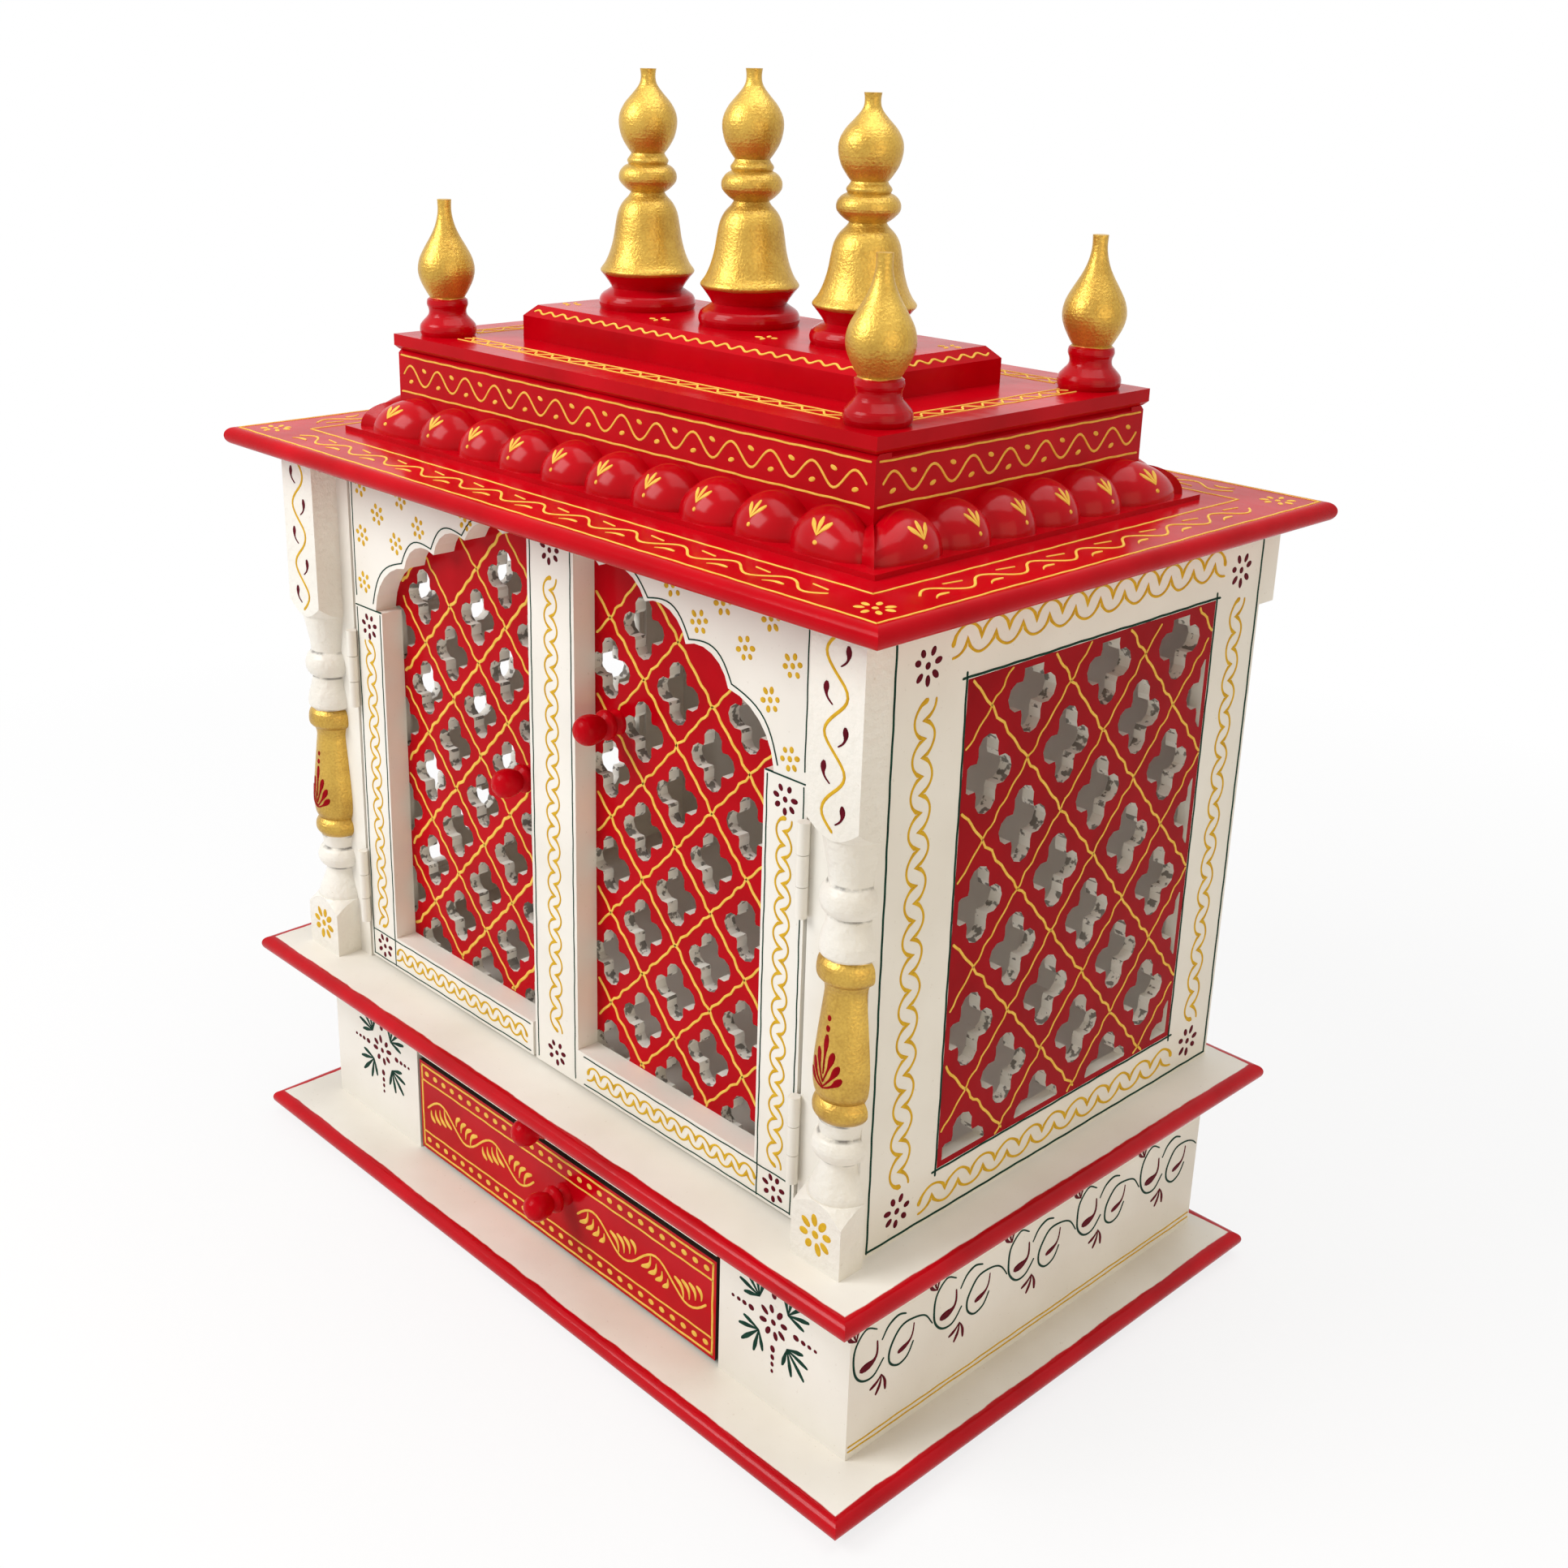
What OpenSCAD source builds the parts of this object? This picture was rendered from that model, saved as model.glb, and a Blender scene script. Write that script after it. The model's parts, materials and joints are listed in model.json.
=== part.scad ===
// Painted wooden home shrine: plinth with drawer and pull-out tray, pierced
// cabinet with two doors, stepped roof with bell-shaped kalashes.
// Millimetres, +Z up, front faces -Y, origin on the floor under the middle.

/* [Boards] */
// Width of the base, deck and eave boards
board_w = 610; // [580:1:640]
// Depth of the base, deck and eave boards
board_d = 410; // [396:1:430]
// Thickness of the boards, which is also the diameter of their round nose
board_t = 12; // [10:1:16]

/* [Feet] */
// Height of the pads under the base board
foot_h = 6; // [4:1:10]
// Length of each pad along the front
foot_w = 44; // [30:1:60]
// Length of each pad along the side
foot_d = 32; // [20:1:50]
// Distance of the pads from the edges of the base board
foot_inset = 14; // [8:1:40]

/* [Plinth] */
// Distance from the ends of the base board to the plinth
plinth_inset = 33; // [27:1:45]
// Height of the plinth between base board and deck board
plinth_h = 122; // [118:1:140]
// Distance from the front edge of the base board to the plinth
plinth_setback = 42; // [38:1:50]
// Thickness of the plinth walls
plinth_t = 12; // [9:1:15]

/* [Drawer and tray] */
// Width of the plinth front on each side of the drawer and the tray
bay_side_w = 97; // [80:1:110]
// Height of the drawer front
drawer_h = 73; // [68:1:78]
// Thickness of the drawer front and the tray front
front_t = 12; // [9:1:15]
// Thickness of the drawer sides and back
drawer_t = 8; // [6:1:10]
// Thickness of the drawer bottom
drawer_floor = 5; // [4:1:8]
// Room behind the drawer and the tray, up to the back of the plinth
drawer_back_space = 46; // [30:1:90]
// Thickness of the tray board
tray_t = 8; // [6:1:10]
// Gap round the drawer front and the tray front
front_gap = 3; // [2:0.5:4]
// Gap between the drawer front and the tray front
tray_gap = 4; // [3:0.5:6]
// Gap beside the drawer box and the tray board
drawer_play = 5; // [3:0.5:8]
// How much lower the drawer sides are than the drawer front
side_drop = 14; // [8:1:24]
// Width of the runners that carry the tray
runner_w = 13; // [11:1:18]
// Height of the runners that carry the tray
runner_h = 6; // [5:1:10]
// Height of the drawer knob above the foot of the drawer front
drawer_knob_h = 45; // [30:1:50]
// Place of the drawer knob, right of the middle
drawer_knob_x = 10; // [-20:1:20]
// Place of the tray knob, right of the middle
tray_knob_x = -2; // [-20:1:20]
// Gap between a sliding piece and what carries it
seat_gap = 0.3; // [0.2:0.1:0.6]

/* [Cabinet] */
// Distance from the ends of the deck board to the side frames
body_inset = 35; // [25:1:45]
// Height of the cabinet between deck board and eave board
body_h = 376; // [366:1:400]
// Distance from the front edge of the deck board to the cabinet front
body_setback = 45; // [42:1:52]
// Distance from the cabinet back to the back edge of the boards
body_back_setback = 18; // [18:1:30]
// Thickness of the side frames and the door jambs
frame_t = 12; // [10:1:16]
// Thickness of the pierced panels
jali_t = 8; // [6:1:10]
// Thickness of the back panel
back_t = 8; // [6:1:12]
// Width of the front stile of a side frame
side_front_stile = 66; // [56:1:74]
// Width of the back stile of a side frame
side_back_stile = 50; // [40:1:58]
// Height of the top rail of a side frame
side_top_rail = 45; // [36:1:55]
// Height of the bottom rail of a side frame
side_bottom_rail = 33; // [25:1:42]
// Height of the batten behind the cabinet, under the eave
batten_h = 57; // [40:1:70]
// Thickness of that batten
batten_t = 16; // [12:1:18]

/* [Doors] */
// Width of the jambs that the doors hang on
jamb_w = 35; // [31:1:45]
// Thickness of the door frames
door_t = 16; // [14:1:20]
// Width of the hinge stiles
stile_w = 33; // [28:1:38]
// Width of the middle stile, which the right door carries
middle_stile_w = 45; // [38:1:52]
// Height of the bottom rails
rail_h = 25; // [20:1:32]
// Height of the hinge stiles, up to the foot of the arch
stile_h = 270; // [262:1:278]
// Gap between a door and what is round it
door_gap = 3; // [2.5:0.5:4]
// How far the foot of the arch stands back from the hinge stile
arch_shoulder = 7; // [4:1:10]
// Rise of each scallop of the arch above its chord
scallop_rise = 9; // [6:1:11]
// How far a pierced panel reaches behind its frame
jali_lap = 11; // [8:1:14]
// Distance of a pierced panel from the free edges of its door
jali_edge = 4; // [3:1:6]
// Width of the rim round a pierced panel that no hole cuts into
jali_rim = 4; // [3:1:6]
// Distance of the door knobs below the head of the hinge stile, right then left
right_knob_drop = 17; // [10:1:40]
left_knob_drop = 77; // [50:1:100]
// Distance of the door knobs from the middle of the front, right then left
right_knob_x = 44; // [38:1:50]
left_knob_x = 40; // [38:1:46]

/* [Hinges] */
// Length of a hinge barrel
hinge_l = 56; // [45:1:64]
// Diameter of a hinge barrel
barrel_d = 7; // [6:0.5:8]
// Diameter of the hinge pin
pin_d = 3; // [2:0.5:4]
// Radial clearance of the pin in the door knuckle
pin_gap = 0.08; // [0.02:0.01:0.1]
// Thickness of a hinge plate
plate_t = 1.2; // [0.8:0.1:1.3]
// Depth of a hinge plate behind the barrel
plate_d = 13; // [10:1:14]
// Height of the lower hinge above the foot of the door
low_hinge = 28; // [20:1:40]
// Distance of the upper hinge below the head of the hinge stile
high_hinge_drop = 19; // [12:1:30]
// Gap between the knuckles of a hinge
knuckle_gap = 0.2; // [0.1:0.05:0.4]

/* [Knobs] */
// Length of a knob
knob_l = 32; // [28:1:36]
// Diameter of the ball of a knob
knob_d = 19; // [16:1:21]

/* [Pillars] */
// Width of the square blocks of the pillars
pillar_w = 38; // [34:1:40]
// How far the pillars stand out past the cabinet sides
pillar_over = 5; // [2:1:8]
// Height of the square block at the foot of a pillar
pillar_foot = 42; // [36:1:50]
// Height of the turned part of a pillar
pillar_turned = 217; // [200:1:230]
// Height over which a block runs out into its round shoulder
pillar_shoulder = 9; // [6:1:12]
// Length of the tenons by which the turned part sits in both blocks
pillar_tenon = 12; // [8:1:16]
// Diameter of those tenons
tenon_d = 16; // [12:1:20]

/* [Roof] */
// Distance from the ends of the eave board to the roof box
box_inset_x = 86; // [75:1:95]
// Distance from the front and the back of the eave board to the roof box
box_inset_y = 88; // [80:1:95]
// Height of the roof box
box_h = 56; // [48:1:66]
// Thickness of the walls of the roof box
box_t = 12; // [9:1:15]
// Overhang of the lid over the roof box
lid_over = 2; // [1:0.5:6]
// Thickness of the lid
lid_t = 10; // [8:1:14]
// Bevel that makes the groove between lid and box
groove = 2.5; // [1.5:0.5:3]
// How far the petals stand out from the roof box
petal_out = 26; // [22:1:30]
// Height of the petals
petal_h = 26; // [20:1:30]
// Spacing of the petals along the outer edge
petal_pitch = 48; // [42:1:54]
// Length of the ridge block
ridge_w = 310; // [290:1:330]
// Depth of the ridge block
ridge_d = 120; // [110:1:130]
// Height of the ridge block
ridge_h = 22; // [18:1:28]
// Bevel round the top of the ridge block
ridge_bevel = 7; // [4:0.5:9]
// Heights of the kalashes, which are turned by hand: left, middle and right
kalash_left_h = 150; // [138:1:165]
kalash_middle_h = 152; // [138:1:165]
kalash_right_h = 141; // [132:1:165]
// Diameter of a kalash
kalash_d = 64; // [58:1:70]
// Distance of the outer kalashes from the ends of the ridge block
kalash_end = 57; // [45:1:65]
// Height of a corner finial
finial_h = 88; // [78:1:98]
// Diameter of a corner finial
finial_d = 37.6; // [34:0.2:42]
// Distance of the finials from the ends of the lid
finial_inset_x = 25; // [22:1:40]
// Distance of the finials from the front and back of the lid
finial_inset_y = 27; // [22:1:36]

/* [Pierced work] */
// Half the width of a diamond in the side panels
side_pitch_y = 35; // [33:1:38]
// Half the height of a diamond in the side panels
side_pitch_z = 39; // [37:1:42]
// Half the width of a diamond in the doors
door_pitch_x = 30.5; // [29:0.5:33]
// Half the height of a diamond in the doors
door_pitch_z = 32.2; // [31:0.2:35]
// Width of a hole as a share of its diamond
hole_share = 0.6; // [0.5:0.01:0.7]

/* [Hidden] */
$fn = 48;
e = 0.01;

white = "ivory";
red = "firebrick";
gold = "goldenrod";

// Heights, from the floor up
base_z = foot_h;
plinth_z = base_z + board_t;
deck_z = plinth_z + plinth_h;
body_z = deck_z + board_t;
eave_z = body_z + body_h;
roof_z = eave_z + board_t;
lid_z = roof_z + box_h;
ridge_z = lid_z + lid_t;
kalash_z = ridge_z + ridge_h;
kalash_pitch = ridge_w / 2 - kalash_end;

// Widths of what stands on the boards
plinth_w = board_w - 2 * plinth_inset;
body_w = board_w - 2 * body_inset;
box_w = board_w - 2 * box_inset_x;
box_d = board_d - 2 * box_inset_y;

// Planes across the depth
front_y = -board_d / 2;
plinth_y = front_y + plinth_setback;
body_y = front_y + body_setback;
body_back_y = board_d / 2 - body_back_setback;
plinth_d = body_back_y - plinth_y;
body_d = body_back_y - body_y;
jali_y = body_y + door_t;

// Drawer and tray bay
bay_w = plinth_w - 2 * plinth_t - 2 * bay_side_w;
front_w = bay_w - 2 * front_gap;
drawer_d = plinth_d - front_t - plinth_t - drawer_back_space;
drawer_foot = plinth_z + front_gap;
drawer_top = drawer_foot + drawer_h;
tray_foot = drawer_top + tray_gap;
tray_h = deck_z - front_gap - tray_foot;
runner_top = tray_foot + runner_h;
guide_back_y = plinth_y + plinth_t + drawer_d + drawer_play;
drawer_box_w = bay_w - 2 * drawer_play;
drawer_side_h = drawer_h - side_drop;

// Doors
door_x = body_w / 2 - frame_t - jamb_w - door_gap;
door_foot = body_z + door_gap;
door_h = body_h - 2 * door_gap;
door_head = door_foot + door_h;
stile_head = door_foot + stile_h;
middle_x = middle_stile_w / 2;
left_edge_x = middle_x + door_gap;
inner_x = door_x - stile_w;
rail_head = door_foot + rail_h;
pin_x = door_x + door_gap / 2;
pin_y = body_y - barrel_d / 2;
knuckle = hinge_l / 3;

// Foot of each scallop of one half arch, from the hinge stile to the crown
arch_foot_x = inner_x + arch_shoulder;
arch_rise = door_head - stile_head - 12;
arch_feet = [
    [arch_foot_x, stile_head + 2],
    [0.81 * arch_foot_x, stile_head + 0.43 * arch_rise],
    [0.63 * arch_foot_x, stile_head + 0.62 * arch_rise],
    [0.45 * arch_foot_x, stile_head + 0.81 * arch_rise],
    [0.24 * arch_foot_x, stile_head + 0.95 * arch_rise],
    [0, stile_head + arch_rise]
];
arch_line = [for (i = [len(arch_feet) - 1:-1:0]) arch_feet[i]];

// Pierced panel of a side frame
side_open_y = body_y + side_front_stile;
side_open_w = body_d - side_front_stile - side_back_stile;
side_open_z = body_z + side_bottom_rail;
side_open_h = body_h - side_bottom_rail - side_top_rail;
side_cross_y = side_open_y + 0.6 * side_pitch_y;
side_cross_z = side_open_z + side_open_h - 0.5 * side_pitch_z;
door_cross_x = middle_x + 0.48 * door_pitch_x;
door_cross_z = stile_head - right_knob_drop;
pillar_quirk = 0.7;

// A Catmull-Rom curve through the points, in steps between each pair
function blend(a, b, c, d, t) =
    0.5 * (2 * b + (c - a) * t + (2 * a - 5 * b + 4 * c - d) * t * t + (3 * b - a - 3 * c + d) * t * t * t);
function smooth(pts, steps = 3) = let (n = len(pts) - 1) concat(
    [for (i = [0:n - 1]) for (k = [0:steps - 1])
        blend(pts[max(i - 1, 0)], pts[i], pts[i + 1], pts[min(i + 2, n)], k / steps)],
    [pts[n]]);

// Turned profiles as [radius, height], each list one smooth run between creases
function kalash_runs() = [
    [[31, 0], [32, 4], [30.5, 8.5], [26.5, 11.5], [23.5, 13.5]],
    [[23.5, 13.5], [25.5, 17], [29.5, 22.5]],
    [[29.5, 22.5], [30.8, 24.2], [30.6, 26], [27.8, 30], [24.8, 37], [22.4, 46], [21, 55], [19.4, 63],
     [16.5, 69], [12.5, 73.5], [11, 76]],
    [[11, 76], [14.5, 78.5], [18.4, 83], [18.6, 88], [16, 92], [12.6, 94]],
    [[12.6, 94], [13.4, 96.5], [11.4, 99.5], [10.8, 101]],
    [[10.8, 101], [13.4, 104.5], [17, 111], [18.8, 119], [18.2, 126], [15, 132.5], [10.4, 138], [6.8, 142.5],
     [5.1, 146], [4.7, 150], [5.2, 154]]
];
function finial_runs() = [
    [[17.6, 0], [18.6, 3], [18.2, 7], [15.4, 10.5], [12.8, 13.5], [12.4, 17], [13.6, 20.5], [13.2, 23.5]],
    [[13.2, 23.5], [11.4, 25]],
    [[11.4, 25], [13.8, 29], [17.2, 36], [18.6, 43], [17.2, 50.5], [13.4, 58], [9.6, 64.5], [6.8, 70.5],
     [5.1, 76.5], [4.4, 82], [4.6, 88]]
];
function knob_runs() = [
    [[8, 0], [7.5, 2], [5.5, 5]],
    [[5.5, 5], [8.8, 7.5], [9.5, 9.5], [8.8, 11.5], [6.5, 13.5]],
    [[6.5, 13.5], [8.6, 17.5], [9.5, 22.5], [8.6, 27], [6, 30.2], [2, 32]]
];
function pillar_runs() = [
    [[18, 0], [17.6, 4], [15, 11], [12.2, 19], [11.8, 23]],
    [[11.8, 23], [15.5, 25.5], [17.6, 31], [16, 36.5], [13, 39]],
    [[13, 39], [13.6, 44], [14.6, 49]],
    [[14.6, 49], [17.4, 53], [17.4, 58], [15, 62]],
    [[15, 62], [17.2, 67], [18, 75], [17.6, 85], [16, 101], [13.9, 119], [13.2, 127], [14.4, 132]],
    [[14.4, 132], [17.6, 135], [18.2, 139], [17.4, 144], [15, 147]],
    [[15, 147], [17.5, 149.5], [17.2, 156], [15, 164], [13.6, 171]],
    [[13.6, 171], [17, 174.5], [18.3, 180], [17, 185.5], [13.8, 189.5]],
    [[13.8, 189.5], [14, 195], [16, 206], [18.2, 217]]
];

// Half outline of a turning, as [radius, height], brought to the wanted radius and height
function turned(runs, r, h) = let (
    corners = [for (run = runs) each run],
    r_scale = r / max([for (p = corners) p[0]]),
    h_scale = h / max([for (p = corners) p[1]]))
    concat(
        [[0, 0]],
        [for (run = runs) for (p = smooth(run)) [p[0] * r_scale, p[1] * h_scale]],
        [[0, h]]);

// Points along an arc that rises over the chord from a to b
function scallop(a, b, rise, steps = 6) = let (
    chord = norm(b - a),
    r = (chord * chord / 4 + rise * rise) / (2 * rise),
    half = asin(chord / 2 / r) ,
    along = (b - a) / chord,
    up = [along[1], -along[0]],
    centre = (a + b) / 2 + up * (rise - r))
    [for (k = [0:steps]) let (t = -half + 2 * half * k / steps) centre + r * (sin(t) * along + cos(t) * up)];

// Four-lobed hole, as high and wide as given
function quatrefoil(w, h, steps = 6) = let (
    lobe = w / 4.8,
    reach = 110)
    [for (side = [0:3]) for (k = [0:steps]) let (
        turn = 90 * side,
        t = turn - reach + 2 * reach * k / steps,
        out = (side % 2 == 0 ? w : h) / 2 - lobe)
        [out * cos(turn) + lobe * cos(t), out * sin(turn) + lobe * sin(t)]];

// A board with a half-round nose on all four edges
module nosed_board(w, d, t) {
    intersection() {
        rotate([90, 0, 0]) linear_extrude(d, center = true) nosed_profile(w, t);
        rotate([90, 0, 90]) linear_extrude(w, center = true) nosed_profile(d, t);
    }
}
module nosed_profile(w, t) {
    translate([-w / 2 + t / 2, 0]) square([w - t, t]);
    for (side = [-1, 1]) translate([side * (w / 2 - t / 2), t / 2]) circle(d = t);
}

// A slab from one corner to the other
module slab(from, to) {
    translate(from) cube(to - from);
}

// A flat panel with its holes, which leave a whole rim all round
module pierced_panel(corner, size) {
    difference() {
        translate(corner) square(size);
        intersection() {
            translate(corner + [jali_rim, jali_rim]) square(size - 2 * [jali_rim, jali_rim]);
            union() children();
        }
    }
}

// The same pieces on the left and the right
module both_sides() {
    children();
    mirror([1, 0, 0]) children();
}

// Base
module feet() {
    color("dimgray") for (sx = [0, 1]) for (sy = [0, 1])
        mirror([sx, 0, 0]) mirror([0, sy, 0])
            slab([board_w / 2 - foot_inset - foot_w, board_d / 2 - foot_inset - foot_d, 0],
                 [board_w / 2 - foot_inset, board_d / 2 - foot_inset, foot_h]);
}
module base_board() {
    color(white) translate([0, 0, base_z]) nosed_board(board_w, board_d, board_t);
}
module plinth_front() {
    color(white) both_sides()
        slab([bay_w / 2, plinth_y, plinth_z], [plinth_w / 2 - plinth_t, plinth_y + plinth_t, deck_z]);
}
module plinth_sides() {
    color(white) both_sides()
        slab([plinth_w / 2 - plinth_t, plinth_y, plinth_z], [plinth_w / 2, plinth_y + plinth_d, deck_z]);
}
module plinth_back() {
    color(white)
        slab([-plinth_w / 2 + plinth_t, plinth_y + plinth_d - plinth_t, plinth_z],
             [plinth_w / 2 - plinth_t, plinth_y + plinth_d, deck_z]);
}
module drawer_guides() {
    color("burlywood") both_sides() {
        slab([bay_w / 2, plinth_y + plinth_t, plinth_z],
             [bay_w / 2 + plinth_t, guide_back_y, deck_z]);
        slab([bay_w / 2 - runner_w, plinth_y + plinth_t + front_gap, tray_foot],
             [bay_w / 2 + e, guide_back_y, runner_top]);
    }
}
module deck_board() {
    color(white) translate([0, 0, deck_z]) nosed_board(board_w, board_d, board_t);
}

// Drawer
module drawer_front() {
    color(red) slab([-front_w / 2, plinth_y, drawer_foot], [front_w / 2, plinth_y + front_t, drawer_top]);
}
module drawer_sides() {
    color("burlywood") both_sides()
        slab([drawer_box_w / 2 - drawer_t, plinth_y + front_t, plinth_z + seat_gap],
             [drawer_box_w / 2, plinth_y + front_t + drawer_d, plinth_z + drawer_side_h]);
}
module drawer_back() {
    color("burlywood")
        slab([-drawer_box_w / 2 + drawer_t, plinth_y + front_t + drawer_d - drawer_t, plinth_z + seat_gap],
             [drawer_box_w / 2 - drawer_t, plinth_y + front_t + drawer_d, plinth_z + drawer_side_h]);
}
module drawer_bottom() {
    color("burlywood")
        slab([-drawer_box_w / 2 + drawer_t, plinth_y + front_t, plinth_z + seat_gap],
             [drawer_box_w / 2 - drawer_t, plinth_y + front_t + drawer_d - drawer_t,
              plinth_z + seat_gap + drawer_floor]);
}
module drawer_knob() {
    knob(drawer_knob_x, plinth_y, drawer_foot + drawer_knob_h);
}

// Tray
module tray_front() {
    color(white)
        slab([-front_w / 2, plinth_y, tray_foot], [front_w / 2, plinth_y + front_t, tray_foot + tray_h]);
}
module tray_board() {
    color(white)
        slab([-drawer_box_w / 2, plinth_y + front_t, runner_top + seat_gap],
             [drawer_box_w / 2, plinth_y + front_t + drawer_d, runner_top + seat_gap + tray_t]);
}
module tray_knob() {
    knob(tray_knob_x, plinth_y, tray_foot + tray_h / 2);
}

// Turned knob that stands out to the front
module knob(x, y, z) {
    color(red) translate([x, y, z]) rotate([90, 0, 0])
        rotate_extrude() polygon(turned(knob_runs(), knob_d / 2, knob_l));
}

// Cabinet sides
module side_stiles() {
    color(white) {
        slab([body_w / 2 - frame_t, body_y, body_z], [body_w / 2, side_open_y, eave_z]);
        slab([body_w / 2 - frame_t, side_open_y + side_open_w, body_z], [body_w / 2, body_back_y, eave_z]);
    }
}
module side_rails() {
    color(white) {
        slab([body_w / 2 - frame_t, side_open_y, body_z],
             [body_w / 2, side_open_y + side_open_w, side_open_z]);
        slab([body_w / 2 - frame_t, side_open_y, side_open_z + side_open_h],
             [body_w / 2, side_open_y + side_open_w, eave_z]);
    }
}
module side_holes() {
    for (col = [0:ceil(side_open_w / side_pitch_y)]) for (row = [0:ceil(side_open_h / side_pitch_z)])
        let (y = side_cross_y + col * side_pitch_y, z = side_cross_z - row * side_pitch_z)
        if ((col + row) % 2 == 1 && y < side_open_y + side_open_w + side_pitch_y / 4
            && z > side_open_z - side_pitch_z / 4)
            translate([y, z])
                polygon(quatrefoil(2 * side_pitch_y * hole_share, 2 * side_pitch_z * hole_share));
}
module side_jali() {
    color(red) translate([body_w / 2 - jali_t, 0, 0]) rotate([90, 0, 90]) linear_extrude(jali_t)
        pierced_panel([side_open_y, side_open_z], [side_open_w, side_open_h]) side_holes();
}
module left_side_stiles() { mirror([1, 0, 0]) side_stiles(); }
module left_side_rails() { mirror([1, 0, 0]) side_rails(); }
module left_side_jali() { mirror([1, 0, 0]) side_jali(); }
module right_side_stiles() { side_stiles(); }
module right_side_rails() { side_rails(); }
module right_side_jali() { side_jali(); }
module back_panel() {
    color(white)
        slab([-body_w / 2 + frame_t, body_back_y - back_t, body_z], [body_w / 2 - frame_t, body_back_y, eave_z]);
}
module back_batten() {
    color(white)
        slab([-body_w / 2, body_back_y, eave_z - batten_h], [body_w / 2, body_back_y + batten_t, eave_z]);
}
module door_jambs() {
    color(white) both_sides()
        slab([door_x + door_gap, body_y, body_z], [door_x + door_gap + jamb_w, body_y + door_t, eave_z]);
}

// Split turning: square blocks at both ends, half a turned baluster between them
module pillar() {
    color(white) translate([body_w / 2 + pillar_over - pillar_w / 2, body_y, body_z]) {
        translate([0, 0, pillar_foot]) rotate([0, 0, 180]) {
            rotate_extrude(angle = 180) polygon(turned(pillar_runs(), pillar_w / 2 - pillar_quirk, pillar_turned));
            translate([0, 0, -pillar_tenon]) rotate_extrude(angle = 180)
                square([tenon_d / 2, pillar_turned + 2 * pillar_tenon]);
        }
        pillar_block(pillar_foot);
        translate([0, 0, body_h]) mirror([0, 0, 1]) pillar_block(body_h - pillar_foot - pillar_turned);
    }
}
// Square block whose inner end is turned to a round shoulder
module pillar_block(h) {
    corner_r = pillar_w;
    intersection() {
        translate([-pillar_w / 2, -pillar_w / 2, 0]) cube([pillar_w, pillar_w / 2, h]);
        rotate([0, 0, 180]) rotate_extrude(angle = 180)
            polygon([[0, 0], [corner_r, 0], [corner_r, h - 2 * pillar_shoulder],
                     [pillar_w / sqrt(2), h - pillar_shoulder], [pillar_w / 2, h], [0, h]]);
    }
}
module left_pillar() { mirror([1, 0, 0]) pillar(); }
module right_pillar() { pillar(); }

// Hinges: the jamb carries the plate, the outer knuckles and the pin
module hinge_heights() {
    for (z = [door_foot + low_hinge, stile_head - high_hinge_drop - hinge_l]) translate([0, 0, z]) children();
}
module jamb_hinge() {
    translate([pin_x, pin_y, 0]) {
        cylinder(d = pin_d, h = hinge_l);
        for (z = [0, 2 * knuckle + knuckle_gap]) translate([0, 0, z]) {
            cylinder(d = barrel_d, h = knuckle - knuckle_gap);
            translate([door_gap / 2 - plate_t, 0, 0]) cube([plate_t, plate_d, knuckle - knuckle_gap]);
        }
    }
}
module door_hinge() {
    translate([pin_x, pin_y, knuckle + knuckle_gap]) difference() {
        union() {
            cylinder(d = barrel_d, h = knuckle - 2 * knuckle_gap);
            translate([-door_gap / 2, 0, 0]) cube([plate_t, plate_d, knuckle - 2 * knuckle_gap]);
        }
        translate([0, 0, -1]) cylinder(r = pin_d / 2 + pin_gap, h = knuckle + 2);
    }
}
module hinge_plates() {
    color("silver") both_sides() hinge_heights() jamb_hinge();
}

// Doors, drawn on the right and mirrored for the left
module door_stile() {
    color(white) slab([inner_x, body_y, door_foot], [door_x, body_y + door_t, stile_head]);
}
module door_rail(from_x) {
    color(white) slab([from_x, body_y, door_foot], [inner_x, body_y + door_t, rail_head]);
}
// Upper part of a door, cut to half a scalloped arch
module door_arch(from_x) {
    scallops = [for (i = [0:len(arch_feet) - 2]) each scallop(arch_feet[i], arch_feet[i + 1], scallop_rise)];
    color(white) translate([0, body_y + door_t, 0]) rotate([90, 0, 0]) linear_extrude(door_t) difference() {
        translate([from_x, stile_head]) square([door_x - from_x, door_head - stile_head]);
        polygon(concat(scallops, [[-1, stile_head + arch_rise], [-1, stile_head - 1], [arch_foot_x, stile_head - 1]]));
    }
}
module door_holes(from_x) {
    for (col = [-1:5]) for (row = [-3:8])
        let (x = door_cross_x + col * door_pitch_x, z = door_cross_z - row * door_pitch_z)
        if (abs(col + row) % 2 == 1 && x > from_x && x < inner_x + door_pitch_x / 4
            && z < lookup(x, arch_line) - door_pitch_z / 2 && z > rail_head)
            translate([x, z])
                polygon(quatrefoil(2 * door_pitch_x * hole_share, 2 * door_pitch_z * hole_share));
}
module door_jali(from_x) {
    to_x = inner_x + jali_lap;
    foot = rail_head - jali_lap;
    head = door_head - jali_edge;
    color(red) translate([0, jali_y + jali_t, 0]) rotate([90, 0, 0]) linear_extrude(jali_t)
        pierced_panel([from_x, foot], [to_x - from_x, head - foot]) door_holes(from_x);
}
module left_door_stile() { mirror([1, 0, 0]) door_stile(); }
module left_door_rail() { mirror([1, 0, 0]) door_rail(left_edge_x); }
module left_door_arch() { mirror([1, 0, 0]) door_arch(left_edge_x); }
module left_door_jali() { mirror([1, 0, 0]) door_jali(left_edge_x + jali_edge); }
module left_door_knob() { knob(-left_knob_x, jali_y, stile_head - left_knob_drop); }
module left_door_hinges() { color("silver") mirror([1, 0, 0]) hinge_heights() door_hinge(); }
module right_door_stile() { door_stile(); }
module right_door_rail() { door_rail(middle_x); }
module right_door_arch() { door_arch(middle_x); }
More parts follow.
